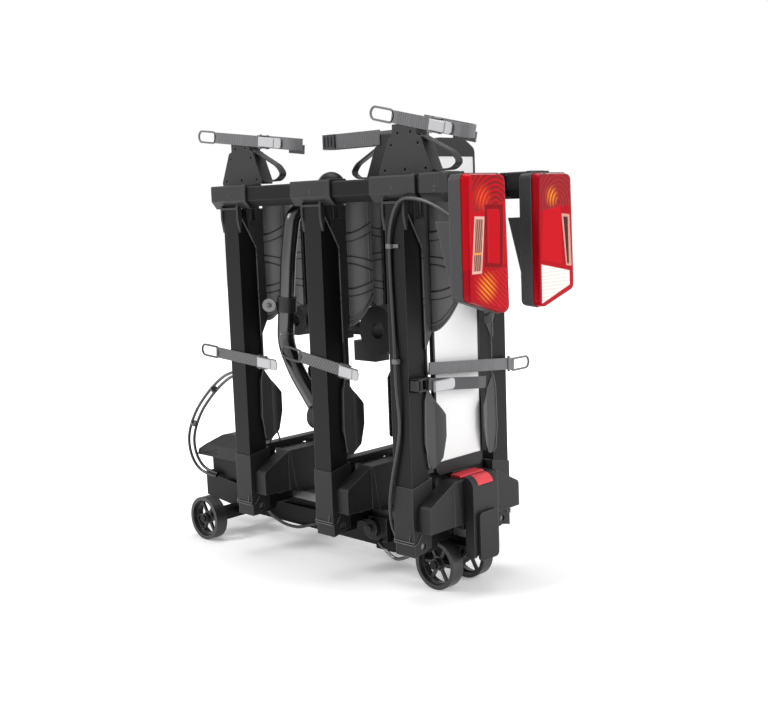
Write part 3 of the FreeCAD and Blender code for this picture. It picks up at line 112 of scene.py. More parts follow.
# Cable sheath: extruded black PVC, smooth and slightly glossy, with long faint waviness. The
# functions that every material uses stand here.
def linear(value):
    """An sRGB hex colour as the linear colour that the shaders take."""
    parts = [int(value[i:i + 2], 16) / 255 for i in (1, 3, 5)]
    return [p / 12.92 if p <= 0.04045 else ((p + 0.055) / 1.055) ** 2.4 for p in parts] + [1]


def add(tree, kind, inputs=None, **settings):
    """Add a node, give it its settings, and fill or link its inputs."""
    made = tree.nodes.new(kind)
    for name, value in settings.items():
        setattr(made, name, value)
    for key, value in (inputs or {}).items():
        if isinstance(value, bpy.types.NodeSocket):
            tree.links.new(value, made.inputs[key])
        else:
            made.inputs[key].default_value = value
    return made


def new_finish(name):
    """An empty material, its node tree and its shader."""
    material = bpy.data.materials.new(name)
    material.use_nodes = True
    return material, material.node_tree, material.node_tree.nodes["Principled BSDF"]


def dress(material, *pieces):
    """Give a material to CAD nodes by name, or to pieces."""
    for piece in pieces:
        thing = nodes[piece] if isinstance(piece, str) else piece
        thing.data.materials.clear()
        thing.data.materials.append(material)


def rack_place(tree):
    """The shaded point in the rack's millimetres, measured from the floor."""
    place = add(tree, "ShaderNodeTexCoord").outputs["Object"]
    return add(tree, "ShaderNodeVectorMath", {0: place, 1: (1000, 1000, 1000), 2: (-405, 0, 72)},
               operation="MULTIPLY_ADD").outputs["Vector"]


def painted(tree, ground, layers):
    """Lay colours over a ground, each where its mask is 1, the last on top."""
    for mask, colour in layers:
        ground = add(tree, "ShaderNodeMix", {0: mask, 6: ground, 7: linear(colour)},
                     data_type="RGBA").outputs[2]
    return ground


def moulded(name, colour, shade, roughness, grain_mm, edge_mm, bump=0.15, gloss=0.3, pattern=None):
    """A moulded plastic or painted surface: fine grain, faint cloudiness, soft edges lightened by a
    painted highlight.

    A pattern is a function that returns a height, a darkening and a lightening, from 0 to 1."""
    material, tree, shader = new_finish(name)
    place = rack_place(tree)
    cloud = add(tree, "ShaderNodeTexNoise",
                {"Vector": place, "Scale": 0.009, "Detail": 3.0}).outputs["Fac"]
    grain = add(tree, "ShaderNodeTexNoise", {"Vector": place, "Scale": 1 / grain_mm, "Detail": 2.0})
    rough = add(tree, "ShaderNodeMapRange", {"Value": cloud, "To Min": roughness - 0.05,
                                             "To Max": roughness + 0.07})
    edge = add(tree, "ShaderNodeBevel", {"Radius": edge_mm / 1000}, samples=6).outputs["Normal"]
    relief = add(tree, "ShaderNodeBump", {"Height": grain.outputs["Fac"], "Strength": bump,
                                          "Distance": 0.0004, "Normal": edge})
    flat = add(tree, "ShaderNodeNewGeometry").outputs["Normal"]
    level = add(tree, "ShaderNodeVectorMath", {0: edge, 1: flat}, operation="DOT_PRODUCT")
    # Painted highlight: edges, convex and concave, are lightened where the bevel normal turns from
    # the face's own normal.
    painted_edge_highlight = add(tree, "ShaderNodeMapRange", {"Value": level.outputs["Value"], "From Min": 0.97,
                                              "From Max": 0.8, "To Min": 0.0, "To Max": 0.4})
    layers = [(cloud, shade), (painted_edge_highlight.outputs["Result"], "#8a8a8b")]
    if pattern:
        height, dark, light = pattern(tree, place)
        relief = add(tree, "ShaderNodeBump", {"Height": height, "Strength": 0.8, "Distance": 0.001,
                                              "Normal": relief.outputs["Normal"]})
        # The pattern's lightening is a painted highlight; its darkening is painted shade in the
        # knurl's hollows and dark joints on the flanks.
        layers += [(dark, "#0c0c0c"), (light, "#8a8a8a")]
    tree.links.new(painted(tree, linear(colour), layers), shader.inputs["Base Color"])
    tree.links.new(rough.outputs["Result"], shader.inputs["Roughness"])
    tree.links.new(relief.outputs["Normal"], shader.inputs["Normal"])
    shader.inputs["IOR"].default_value = 1.5
    shader.inputs["Specular IOR Level"].default_value = gloss
    return material


cable_sheath = moulded("extruded_pvc_sheath", "#2a2a2b", "#303031", 0.3, 6.0, 0.3, 0.05, 0.5)
dress(cable_sheath, lamp_cable, loom, "beam_cable")

# Frame of the rack: aluminium rails and top bars in fine black powder coat, with steel beam
# parts in the same finish. The coat has a fine orange-peel texture and soft edges.
powder_coat = moulded("black_powder_coat", "#0e0e0f", "#121213", 0.4, 1.6, 2.0, 0.12, 0.16)
dress(powder_coat, "near_rails", "far_rails", "near_bar", "far_bar", "main_beam", "hinge_arms",
      "mast", "coupling_head")
satin_paint = moulded("satin_black_paint", "#0e0e0f", "#121213", 0.17, 5.0, 7.0, 0.02, 1.0)
dress(satin_paint, "upper_arm", "lower_arm", "stand_wire")

# Bare metal: brushed aluminium tube on the beam, zinc-plated pins and ball cup, the cast lock
# knob, and the axles, whose ends are blackened. Brush marks are noise, stretched along the tube.
def bare_metal(name, colour, roughness, stretch=(1, 1, 1)):
    material, tree, shader = new_finish(name)
    along = add(tree, "ShaderNodeMapping", {"Vector": rack_place(tree), "Scale": stretch})
    brush = add(tree, "ShaderNodeTexNoise", {"Vector": along.outputs["Vector"], "Scale": 0.6,
                                             "Detail": 2.0}).outputs["Fac"]
    rough = add(tree, "ShaderNodeMapRange", {"Value": brush, "To Min": roughness - 0.06,
                                             "To Max": roughness + 0.1})
    relief = add(tree, "ShaderNodeBump", {"Height": brush, "Strength": 0.08, "Distance": 0.0002})
    shader.inputs["Base Color"].default_value = linear(colour)
    shader.inputs["Metallic"].default_value = 1
    tree.links.new(rough.outputs["Result"], shader.inputs["Roughness"])
    tree.links.new(relief.outputs["Normal"], shader.inputs["Normal"])
    return material


dress(bare_metal("brushed_aluminium", "#8b8c8e", 0.42, (0.04, 1, 1)), "upper_tube")
dress(bare_metal("zinc_plate", "#7d8083", 0.35), "hinge_pins", "ball_cup")
dress(bare_metal("blackened_steel", "#2b2b2c", 0.45), "axles")
dress(bare_metal("cast_zinc_lock", "#77787a", 0.35), "lock_knob")

# Moulded fittings: glass-filled nylon with a spark-eroded grain, a dull dark grey-black. After it
# come the smoother mouldings: clamps, lamp housings, wheels, levers, and the plate's white sheet.
spark_nylon = moulded("spark_textured_nylon", "#1b1b1c", "#212122", 0.5, 1.1, 2.2, 0.25)
dress(spark_nylon, "near_shoes", "far_shoes", "hinge_covers", "rear_block", "foot_pedal",
      "tilt_pivot", "plate_frame", "frame_jaw", "folded_holder", "coupling_lever", "coupling_hood")
smooth_nylon = moulded("smooth_grey_nylon", "#242425", "#2a2a2b", 0.42, 1.1, 1.8, 0.2, 0.3)
dress(smooth_nylon, "near_fittings", "far_fittings", "near_holder_left", "near_holder_right",
      "far_holder_middle", "arm_collar")
lamp_plastic = moulded("charcoal_lamp_housing", "#353536", "#3d3d3e", 0.45, 1.1, 3.0, 0.2, 0.3)
dress(lamp_plastic, "near_lamp_housing", "far_lamp_housing")
wheel_plastic = moulded("wheel_polypropylene", "#2a2a2b", "#323233", 0.36, 1.2, 1.4, 0.15, 0.5)
dress(wheel_plastic, "wheel_rear_near", "wheel_rear_far", "wheel_front_near", "wheel_front_far")
grey_handle = moulded("satin_grey_handle", "#bcbcbe", "#c8c8ca", 0.3, 1.5, 1.5, 0.08, 0.5)
dress(grey_handle, "top_latch_left", "top_latch_right", "top_latch_middle", "wheel_latch_left",
      "wheel_latch_middle", "wheel_latch_right")
red_nylon = moulded("red_nylon", "#e8424c", "#dd3640", 0.35, 1.5, 1.0, 0.1, 0.5)
dress(red_nylon, "tilt_release", "fold_button")
white_sheet = moulded("bare_white_sheet", "#f2f2f2", "#f7f7f7", 0.3, 4.0, 0.3, 0.02, 0.5)
dress(white_sheet, "number_plate")

# Wheel trays: satin polypropylene channels, moulded over the rails' inner sides. The solids have
# their floors, straight walls and lobes. The curved flanks are pieces of their own, further on.
tray_plastic = moulded("satin_tray_plastic", "#2c2c2d", "#343435", 0.38, 1.4, 1.0, 0.12, 0.4)
dress(tray_plastic, "near_trays", "far_trays")


# Lamp lenses: red acrylic mouldings, each with clear windows, ribbed reflectors behind the face and
# painted amber glints on the ribs. The patterns lie on the face, at the real ribs' spacing.
lens_face = 364


def join(tree, masks, operation="MAXIMUM"):
    """One mask from several, by their highest value or by another operation."""
    whole = masks[0]
    for mask in masks[1:]:
        whole = add(tree, "ShaderNodeMath", {0: whole, 1: mask}, operation=operation).outputs[0]
    return whole


def patch(tree, place, corners):
    """A mask of a straight-sided patch of Y and Z, its corners counter-clockwise from behind."""
    sides = []
    for (ya, za), (yb, zb) in zip(corners, corners[1:] + corners[:1]):
        length = math.hypot(yb - ya, zb - za)
        inward = (0, -(zb - za) / length, (yb - ya) / length)
        start = inward[1] * ya + inward[2] * za
        along = add(tree, "ShaderNodeVectorMath", {0: place, 1: inward}, operation="DOT_PRODUCT")
        sides.append(add(tree, "ShaderNodeMath", {0: along.outputs["Value"], 1: 0.5 - start},
                         operation="ADD", use_clamp=True).outputs[0])
    return join(tree, sides, "MULTIPLY")


def wave(tree, length, pitch):
    """A wave from 0 to 1 over a length in millimetres."""
    turn = add(tree, "ShaderNodeMath", {0: length, 1: 2 * math.pi / pitch}, operation="MULTIPLY")
    swing = add(tree, "ShaderNodeMath", {0: turn.outputs[0]}, operation="SINE")
    return add(tree, "ShaderNodeMath", {0: swing.outputs[0], 1: 0.5, 2: 0.5},
               operation="MULTIPLY_ADD").outputs[0]


def ribs(tree, place, across, pitch):
    """Parallel ribs, as a wave along a direction of the rack."""
    along = add(tree, "ShaderNodeVectorMath", {0: place, 1: across}, operation="DOT_PRODUCT")
    return wave(tree, along.outputs["Value"], pitch)


def rings(tree, place, y, z, pitch):
    """Round ribs about a point of the face."""
    off = add(tree, "ShaderNodeVectorMath", {0: place, 1: (lens_face, y, z)}, operation="DISTANCE")
    return wave(tree, off.outputs["Value"], pitch)


def glint(tree, place, y, z, size):
    """A painted glint: a soft spot that fades from 1 round its middle, which lies 6 mm behind the
    face.
    """
    off = add(tree, "ShaderNodeVectorMath", {0: place, 1: (lens_face - 6, y, z)},
              operation="DISTANCE")
    return add(tree, "ShaderNodeMapRange", {"Value": off.outputs["Value"], "From Min": 4.0,
                                            "From Max": size, "To Min": 1.0, "To Max": 0.0},
               interpolation_type="SMOOTHSTEP").outputs["Result"]


def lens(name, layers):
    material, tree, shader = new_finish(name)
    place = rack_place(tree)
    paint, height = layers(tree, place)
    edge = add(tree, "ShaderNodeBevel", {"Radius": 0.006}, samples=8)
    relief = add(tree, "ShaderNodeBump", {"Height": height, "Strength": 0.35, "Distance": 0.0012,
                                          "Normal": edge.outputs["Normal"]})
    tree.links.new(paint, shader.inputs["Base Color"])
    tree.links.new(relief.outputs["Normal"], shader.inputs["Normal"])
    shader.inputs["Roughness"].default_value = 0.16
    shader.inputs["IOR"].default_value = 1.49
    shader.inputs["Specular IOR Level"].default_value = 0.08
    return material


def near_layers(tree, place):
    """The near lens: round ribs above, a framed panel and a window, slanted ribs below."""
    top = patch(tree, place, [(-140, 700), (-140, 545), (-30, 552), (-30, 700)])
    low = patch(tree, place, [(-122, 536), (-118, 502), (-46, 480), (-44, 546)])
    upper = patch(tree, place, [(-122, 690), (-120, 628), (-44, 645), (-42, 690)])
    panel = patch(tree, place, [(-93, 641), (-97, 548), (-52, 545), (-48, 640)])
    core = patch(tree, place, [(-86, 634), (-88, 554), (-60, 551), (-58, 633)])
    window_frame = patch(tree, place, [(-117, 624), (-126, 539), (-103, 539), (-94, 623)])
    window = patch(tree, place, [(-114.5, 620), (-122.5, 543), (-105, 543), (-97.5, 619)])
    bar = patch(tree, place, [(-124, 570), (-124, 567), (-98, 567), (-98, 570)])
    circle = rings(tree, place, -66, 634, 7.5)
    slant = ribs(tree, place, (0, 0.62, 0.79), 6.5)
    upright = ribs(tree, place, (0, 1, 0.1), 4.6)
    arcs = join(tree, [upper, circle], "MULTIPLY")
    # Painted orange and amber glints: painted highlights on the round and the slanted ribs.
    painted_orange_glint = join(tree, [glint(tree, place, -98, 652, 26), circle], "MULTIPLY")
    diagonal = join(tree, [low, slant], "MULTIPLY")
    painted_amber_glint = join(tree, [glint(tree, place, -91, 517, 30), slant], "MULTIPLY")
    dark_ribs = join(tree, [window, upright, upright], "MULTIPLY")
    amber_bar = join(tree, [bar, window], "MULTIPLY")
    paint = painted(tree, linear("#b0081a"), [
        (top, "#c40a1a"), (arcs, "#7d1a1e"), (painted_orange_glint, "#f0521e"), (panel, "#8a0a14"),
        (core, "#c40a1a"), (low, "#a5141d"), (diagonal, "#cf1622"), (painted_amber_glint, "#ff9a1e"),
        (window_frame, "#e8b4a8"), (window, "#b98473"), (dark_ribs, "#4a2420"),
        (amber_bar, "#f0a040")])
    panel_edge = join(tree, [panel, core], "SUBTRACT")
    return paint, join(tree, [arcs, diagonal, dark_ribs, panel_edge])


def far_layers(tree, place):
    """The far lens: round ribs above, a plain middle with a strip, a clear window below."""
    upper = patch(tree, place, [(44, 690), (46, 628), (128, 636), (128, 690)])
    middle = patch(tree, place, [(52, 628), (46, 550), (102, 541), (100, 634)])
    window_frame = patch(tree, place, [(42, 546), (42, 477), (127, 504), (127, 529)])
    window = patch(tree, place, [(46, 543), (46, 481), (122, 506), (122, 529)])
    strip = patch(tree, place, [(102, 622), (113, 538), (128, 536), (124, 620)])
    inner = patch(tree, place, [(107, 617), (116, 541), (121, 540), (119, 616)])
    circle = rings(tree, place, 96, 640, 7.5)
    level = ribs(tree, place, (0, 0, 1), 5.5)
    arcs = join(tree, [upper, circle], "MULTIPLY")
    # Painted amber glint: a painted highlight on the round ribs.
    painted_amber_glint = join(tree, [glint(tree, place, 76, 650, 22), circle], "MULTIPLY")
    lines = join(tree, [window, level, level], "MULTIPLY")
    shaded = add(tree, "ShaderNodeMath", {0: lines, 1: 0.45}, operation="MULTIPLY").outputs[0]
    paint = painted(tree, linear("#b0081a"), [
        (upper, "#a8202a"), (arcs, "#8a2024"), (middle, "#c80c1c"), (painted_amber_glint, "#ff9a1e"),
        (strip, "#d59a8c"), (inner, "#4b2a24"), (window_frame, "#c01420"), (window, "#f6f3ee"),
        (shaded, "#c9b8ae")])
    return paint, join(tree, [arcs, lines])


dress(lens("red_acrylic_near", near_layers), "near_lens")
dress(lens("red_acrylic_far", far_layers), "far_lens")


# Ratchet straps on the wheel holders: one moulded elastomer strip each, ribbed across at 5 mm,
# with a smooth pull ring at one end. It runs round the holder's head, and its end lies inside
# the turn.
strap_width, strap_thickness, rib_pitch, rib_neck = 20, 3, 5, 0.62
rear, front = (1, 0, 0), (-1, 0, 0)


def finish_mesh(name, mesh, body, slot, material, *replaced):
    """Turn a bmesh into a piece that rides on a body and stands for CAD nodes."""
    bmesh.ops.recalc_face_normals(mesh, faces=mesh.faces)
    data = bpy.data.meshes.new(name)
    mesh.to_mesh(data)
    mesh.free()
    piece = placed(name, data)
    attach(piece, body)
    if replaced:
        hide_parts(*replaced)
    dress(material, piece)


def lean(mesh, x, z, degrees):
    """Turn a mesh about a level axis through a rack point, as its strap hangs."""
    bmesh.ops.rotate(mesh, cent=mm(x, 0, z), verts=mesh.verts,
                     matrix=Matrix.Rotation(math.radians(degrees), 3, "Y"))


def edges_of(verts):
    return list({edge for vert in verts for edge in vert.link_edges})


def soften(mesh, edges, offset, segments=2, clamp=True):
    """Round edges by an offset in millimetres."""
    bmesh.ops.bevel(mesh, geom=edges, offset=offset / 1000, segments=segments, profile=0.5,
                    affect="EDGES", material=-1, clamp_overlap=clamp)


def block(mesh, low, high):
    """A block between two rack points; returns its vertices."""
    centre, size = (Vector(low) + Vector(high)) / 2, Vector(high) - Vector(low)
    made = bmesh.ops.create_cube(mesh, size=1)["verts"]
    bmesh.ops.scale(mesh, vec=size / 1000, verts=made)
    bmesh.ops.translate(mesh, vec=mm(*centre), verts=made)
    return made


def soft_block(mesh, low, high, rounding, segments=2):
    """A block between two rack points, its edges rounded."""
    soften(mesh, edges_of(block(mesh, low, high)), rounding, segments)


def rod(mesh, start, end, radius, segments=20):
    """A round bar between two rack points."""
    run = mm(*end) - mm(*start)
    made = bmesh.ops.create_cone(mesh, cap_ends=True, segments=segments, radius1=radius / 1000,
                                 radius2=radius / 1000, depth=run.length)["verts"]
    bmesh.ops.rotate(mesh, matrix=run.to_track_quat("Z", "Y").to_matrix(), verts=made)
    bmesh.ops.translate(mesh, vec=(mm(*start) + mm(*end)) / 2, verts=made)


def section(mesh, start, course, width=strap_width, thickness=strap_thickness):
    """The end face of a strip, square to its course."""
    made = bmesh.ops.create_grid(mesh, x_segments=1, y_segments=1, size=0.5)["verts"]
    bmesh.ops.scale(mesh, vec=(thickness / 1000, width / 1000, 1), verts=made)
    upright = Matrix(((0, 0, 1), (1, 0, 0), (0, 1, 0)))
    pitch = Matrix.Rotation(-math.asin(course[2]), 3, "Y")
    heading = Matrix.Rotation(math.atan2(course[1], course[0]), 3, "Z")
    for turn in (upright, pitch, heading):
        bmesh.ops.rotate(mesh, matrix=turn, verts=made)
    bmesh.ops.translate(mesh, vec=mm(*start), verts=made)
    return made[0].link_faces[0]


def draw_out(mesh, end, steps, move, ribbed=False):
    """Extrude a strip's end face in equal steps. Ribbed, it is thin for two steps of every four."""
    changes = {1: rib_neck, 3: 1 / rib_neck} if ribbed else {}
    for number in range(steps):
        made = bmesh.ops.extrude_face_region(mesh, geom=[end])["geom"]
        end = next(part for part in made if isinstance(part, bmesh.types.BMFace))
        move(list(end.verts))
        if number % 4 not in changes:
            continue
        for edge in end.edges:
            if edge.calc_length() * 1000 < 2 * strap_thickness:
                middle = (edge.verts[0].co + edge.verts[1].co) / 2
                bmesh.ops.scale(mesh, vec=(changes[number % 4],) * 3, verts=list(edge.verts),
                                space=Matrix.Translation(-middle))
    return end


def straight(mesh, end, length, course, ribbed=False):
    """A straight run of a strip."""
    steps = 4 * round(length / rib_pitch) if ribbed else 2
    step = Vector(course) * (length / steps / 1000)
    return draw_out(mesh, end, steps, lambda verts: bmesh.ops.translate(
        mesh, vec=step, verts=verts), ribbed)


def half_turn(mesh, end, centre, radius):
    """A run of a strip half round an upright axis through a rack point."""
    steps = 4 * round(math.pi * radius / rib_pitch)
    turn = Matrix.Rotation(math.pi / steps, 3, "Z")
    return draw_out(mesh, end, steps, lambda verts: bmesh.ops.rotate(
        mesh, cent=mm(*centre), matrix=turn, verts=verts))


def pull_ring(mesh, x, y, z, across=False):
    """A flat oval eye, drawn from a disc parted in the middle, inset, opened and thickened."""
    length, height, wall, crease = 56, 24, 3.6, 1.2
    made = bmesh.ops.create_circle(mesh, segments=36, radius=height / 2000, cap_ends=True)["verts"]
    part = (length - height) / 2000
    for side in (-1, 1):
        half = [vert for vert in made if vert.co.x * side > 1e-6]
        bmesh.ops.translate(mesh, vec=(part * side, 0, 0), verts=half)
    disc = made[0].link_faces[0]
    rim = bmesh.ops.inset_individual(mesh, faces=[disc], thickness=wall / 1000)["faces"]
    bmesh.ops.delete(mesh, geom=[disc], context="FACES_ONLY")
    raised = bmesh.ops.extrude_face_region(mesh, geom=rim)["geom"]
    top = [item for item in raised if isinstance(item, bmesh.types.BMVert)]
    bmesh.ops.translate(mesh, vec=(0, 0, strap_thickness / 1000), verts=top)
    whole = list({vert for face in rim for vert in face.verts}) + top
    bmesh.ops.translate(mesh, vec=(0, 0, -strap_thickness / 2000), verts=whole)
    bmesh.ops.rotate(mesh, matrix=Matrix.Rotation(math.pi / 2, 3, "X"), verts=whole)
    if across:
        bmesh.ops.rotate(mesh, matrix=Matrix.Rotation(math.pi / 2, 3, "Z"), verts=whole)
    bmesh.ops.translate(mesh, vec=mm(x, y, z), verts=whole)
    soften(mesh, [edge for edge in edges_of(whole) if edge.calc_face_angle(0) > crease], 0.7)


strap_rubber = moulded("ribbed_elastomer", "#68686a", "#747476", 0.42, 1.5, 0.4, 0.1, 0.35)
smooth_rubber = moulded("smooth_elastomer", "#37373a", "#404043", 0.34, 2.0, 0.5, 0.06, 0.4)


def top_strap(name, node, body, ring_x, turn_x, tail_x, level, end_x, hang):
    """A strap from its ring rearwards, round the head and back, with its tail inside the turn."""
    near_y, centre_y, radius = -91.5, -77, 14.5
    at_ring, under_lever = 14, 34
    bend_x = turn_x - radius
    mesh = bmesh.new()
    end = section(mesh, (ring_x, near_y, level), rear)
    end = straight(mesh, end, at_ring, rear)
    end = straight(mesh, end, bend_x - ring_x - at_ring - under_lever, rear, True)
    end = straight(mesh, end, under_lever, rear)
    end = half_turn(mesh, end, (bend_x, centre_y, level), radius)
    straight(mesh, end, bend_x - end_x, front)
    tail = section(mesh, (turn_x - 5, -60.3, level - 9), front, 16)
    straight(mesh, tail, turn_x - 5 - tail_x, front, True)
    pull_ring(mesh, ring_x - 22, near_y, level)
    lean(mesh, *hang)
    finish_mesh(name, mesh, body, "strap_plastic", strap_rubber, node)


left_hang, right_hang = (-169, 769, 6.86), (257, 767, 12.6)
top_strap("left_holder_strap", "near_top_strap_left", "holder_left", -283, -61, -105, 769, -192,
          left_hang)
top_strap("right_holder_strap", "near_top_strap_right", "holder_right", 177, 333, 283, 767, 220,
          right_hang)


# Strap of the far holder: a wider strip without a ring, capped beside its turn by a clip with
# three slots.
def in_rack(point):
    """A point of the frame in the rack's millimetres."""
    return Vector(point) * 1000 - Vector((405, 0, -72))


def part_at(mesh, point, normal, clear=False):
    """Cut a mesh along a plane through a rack point, and clear what lies beyond it if asked."""
    bmesh.ops.bisect_plane(mesh, geom=mesh.verts[:] + mesh.edges[:] + mesh.faces[:],
                           plane_co=mm(*point), plane_no=normal, clear_outer=clear)


mesh = bmesh.new()
end = section(mesh, (92, 91.5, 767), front, 27)
end = straight(mesh, end, 233.5, front, True)
end = half_turn(mesh, end, (-141.5, 77, 767), 14.5)
straight(mesh, end, 141.5, rear, True)
finish_mesh("far_holder_strap", mesh, "holder_middle", "strap_plastic", strap_rubber,
            "far_top_strap_middle")
mesh = bmesh.new()
slot_low, slot_high, slot_width, slot_starts = 758, 776, 3, (-142, -133, -124)
block(mesh, (-147, 57.8, 753.5), (-115, 61, 780.5))
for level in (slot_low, slot_high):
    part_at(mesh, (0, 0, level), (0, 0, 1))
for start in slot_starts:
    part_at(mesh, (start, 0, 0), (1, 0, 0))
    part_at(mesh, (start + slot_width, 0, 0), (1, 0, 0))
slots = []
for face in mesh.faces:
    centre = in_rack(face.calc_center_median())
    in_slot = any(start < centre.x < start + slot_width for start in slot_starts)
    if face.normal.y < -0.9 and slot_low < centre.z < slot_high and in_slot:
        slots.append(face)
sunk = bmesh.ops.extrude_discrete_faces(mesh, faces=slots)["faces"]
bmesh.ops.translate(mesh, vec=(0, 0.0022, 0),
                    verts=list({vert for face in sunk for vert in face.verts}))
finish_mesh("far_strap_clip", mesh, "holder_middle", "strap_plastic", smooth_rubber)


# Wheel straps: short knurled strips across the near rails, each with a pull ring, and the smooth
# end that runs on under the ratchet lever. The knurling is 2.5 mm diamonds, drawn 5 mm wide so
# that it shows.
def diamonds(tree, place):
    one = ribs(tree, place, (0.7, 0.7, 0.7), 5.0)
    two = ribs(tree, place, (0.7, 0.7, -0.7), 5.0)
    height = join(tree, [one, two], "MULTIPLY")
    # Painted shade in the knurl's hollows and a painted highlight on its tops, both taken from the
    # height.
    dark = add(tree, "ShaderNodeMath", {0: height, 1: -0.5, 2: 0.3}, operation="MULTIPLY_ADD",
               use_clamp=True).outputs[0]
    light = add(tree, "ShaderNodeMath", {0: height, 1: 0.45}, operation="MULTIPLY").outputs[0]
    return height, dark, light


knurled_rubber = moulded("knurled_elastomer", "#555557", "#606062", 0.42, 1.5, 0.5, 0.1, 0.4,
                         diamonds)


def wheel_strap(name, ring_x, end_x, latch_x, level, hang):
    strap_y = -125.5
    mesh = bmesh.new()
    end = section(mesh, (ring_x + 3, strap_y, level), rear)
    straight(mesh, end, latch_x + 8 - ring_x, rear)
    lean(mesh, *hang)
    finish_mesh(name, mesh, "near_wing", "strap_plastic", knurled_rubber, "near_wheel_straps")
    mesh = bmesh.new()
    end = section(mesh, (latch_x + 11, strap_y - 0.2, level), rear, 19, 2.4)
    straight(mesh, end, end_x - latch_x - 11, rear)
    soft_block(mesh, (ring_x - 4, -126.8, level - 10), (ring_x + 4, -124.2, level + 10), 0.6)
    pull_ring(mesh, ring_x - 22, strap_y, level)
    lean(mesh, *hang)
    finish_mesh(name + "_ends", mesh, "near_wing", "strap_plastic", smooth_rubber)


left_wheel_hang, middle_wheel_hang = (-180, 376, 4.1), (41, 379, 8.8)
wheel_strap("left_wheel_strap", -264, -96, -142, 376, left_wheel_hang)
wheel_strap("middle_wheel_strap", -30, 112, 73, 379, middle_wheel_hang)

# Strap of the right-hand tray: an open buckle on the rail's side with a roller, and a smooth band
# that crosses to the far wing. The far wing's ribbed band comes to meet it, with its ring.
mesh = bmesh.new()
course = Vector((0, 124, -14)).normalized()
end = section(mesh, (242, -96, 360), course)
end = straight(mesh, end, 124, course)
straight(mesh, end, 24, Vector((-3, 23, -2)).normalized())
finish_mesh("cross_strap", mesh, "near_wing", "strap_plastic", smooth_rubber, "near_wheel_straps")
mesh = bmesh.new()
for low, high in (((226, -122, 349), (241, -87, 352.5)), ((226, -122, 367.5), (241, -87, 371)),
                  ((226, -122, 349), (241, -116, 371)), ((226, -97, 349), (239, -87, 371))):
    soft_block(mesh, low, high, 0.8)
rod(mesh, (236, -108, 351), (236, -108, 369), 4.2)
finish_mesh("cross_buckle", mesh, "near_wing", "strap_plastic", spark_nylon)
mesh = bmesh.new()
course = Vector((0, 219, -19)).normalized()
end = section(mesh, (233, -83, 383), course)
end = straight(mesh, end, 165, course, True)
straight(mesh, end, 56, course)
pull_ring(mesh, 233, 154, 362, across=True)
soft_block(mesh, (226, 102, 359), (232, 122, 373), 0.8)
soft_block(mesh, (233.5, 118, 354), (237, 124, 377), 0.8)
rod(mesh, (235, 121, 352), (235, 121, 379), 2.2)
finish_mesh("far_cross_strap", mesh, "far_wing", "strap_plastic", strap_rubber, "far_wheel_strap")


# Ratchet levers: satin aluminium-grey levers, rounded at the pinned end and raised over two thirds
# of their length, between steel cheeks whose pins show above and below. Each heel is eased, so
# that the lever clears its strap when it lifts.
lever_round = 6


def latch(name, start, end, face, level, pin_side, hang=None):
    """A lever on a strap's face, pinned at its end (1) or at its start (-1)."""
    out = math.copysign(1, face)
    plate_low, plate_high = sorted((face, face + 3.4 * out))
    pad_low, pad_high = sorted((face, face + 5 * out))
    mesh = bmesh.new()
    plate = block(mesh, (start, plate_low, level - 9), (end, plate_high, level + 9))
    pin_x = mm(end if pin_side > 0 else start, 0, 0).x
    heel = [vert for vert in plate
            if abs(vert.co.x - pin_x) < 0.001 and abs(vert.co.y * 1000 - face) < 0.1]
    bmesh.ops.translate(mesh, vec=(0, 0.0017 * out, 0), verts=heel)
    corners = [edge for edge in edges_of(plate)
               if abs((edge.verts[0].co - edge.verts[1].co).y) > 0.001
               and all(abs(corner.co.x - pin_x) < 0.001 for corner in edge.verts)]
    soften(mesh, corners, lever_round, 6, clamp=False)
    bare = (end - start) * 0.3
    pad = (start + 1, end - bare) if pin_side > 0 else (start + bare, end - 1)
    soft_block(mesh, (pad[0], pad_low, level - 8.4), (pad[1], pad_high, level + 8.4), 1.2, 3)
    if hang:
        lean(mesh, *hang)
    finish_mesh(name + "_lever", mesh, name, "grey_plastic", grey_handle, name)


def cheeks(name, x, face, level, body, hang):
    """Two side plates 26 mm long with two pins through them."""
    mesh = bmesh.new()
    for side in (-1, 1):
        low, high = sorted((level + 10.2 * side, level + 11.6 * side))
        soft_block(mesh, (x, face - 2.5, low), (x + 26, face + 5, high), 0.5)
    rod(mesh, (x + 6, face, level - 13), (x + 6, face, level + 13), 1.8, 16)
    rod(mesh, (x + 20, face + 3.5, level - 12.6), (x + 20, face + 3.5, level + 12.6), 1.5, 16)
    lean(mesh, *hang)
    finish_mesh(name, mesh, body, "zinc_steel", plated_steel)


plated_steel = bare_metal("dark_plated_steel", "#5d5f62", 0.35)
near_face, wheel_face = -93.3, -127.3
latch("top_latch_left", -149, -88, near_face, 769, 1, left_hang)
latch("top_latch_right", 261, 308, near_face, 767, 1, right_hang)
latch("top_latch_middle", -62, -16, 93.3, 767, -1)
latch("wheel_latch_left", -142, -88, wheel_face, 376, 1, left_wheel_hang)
latch("wheel_latch_middle", 73, 119, wheel_face, 379, 1, middle_wheel_hang)
cheeks("left_holder_cheeks", -152, near_face, 769, "holder_left", left_hang)
cheeks("right_holder_cheeks", 258, near_face, 767, "holder_right", right_hang)
cheeks("left_wheel_cheeks", -145, wheel_face, 376, "near_wing", left_wheel_hang)
cheeks("middle_wheel_cheeks", 70, wheel_face, 379, "near_wing", middle_wheel_hang)
mesh = bmesh.new()
plate = block(mesh, (243.8, -86, 346), (247.2, -36.5, 364))
corners = [edge for edge in edges_of(plate)
           if abs((edge.verts[0].co - edge.verts[1].co).x) > 0.002
           and edge.verts[0].co.y > -0.05]
soften(mesh, corners, lever_round, 6, clamp=False)
soft_block(mesh, (243.8, -85, 346.6), (248.8, -51, 363.4), 1.2, 3)
finish_mesh("wheel_latch_right_lever", mesh, "wheel_latch_right", "grey_plastic", grey_handle,
            "wheel_latch_right")

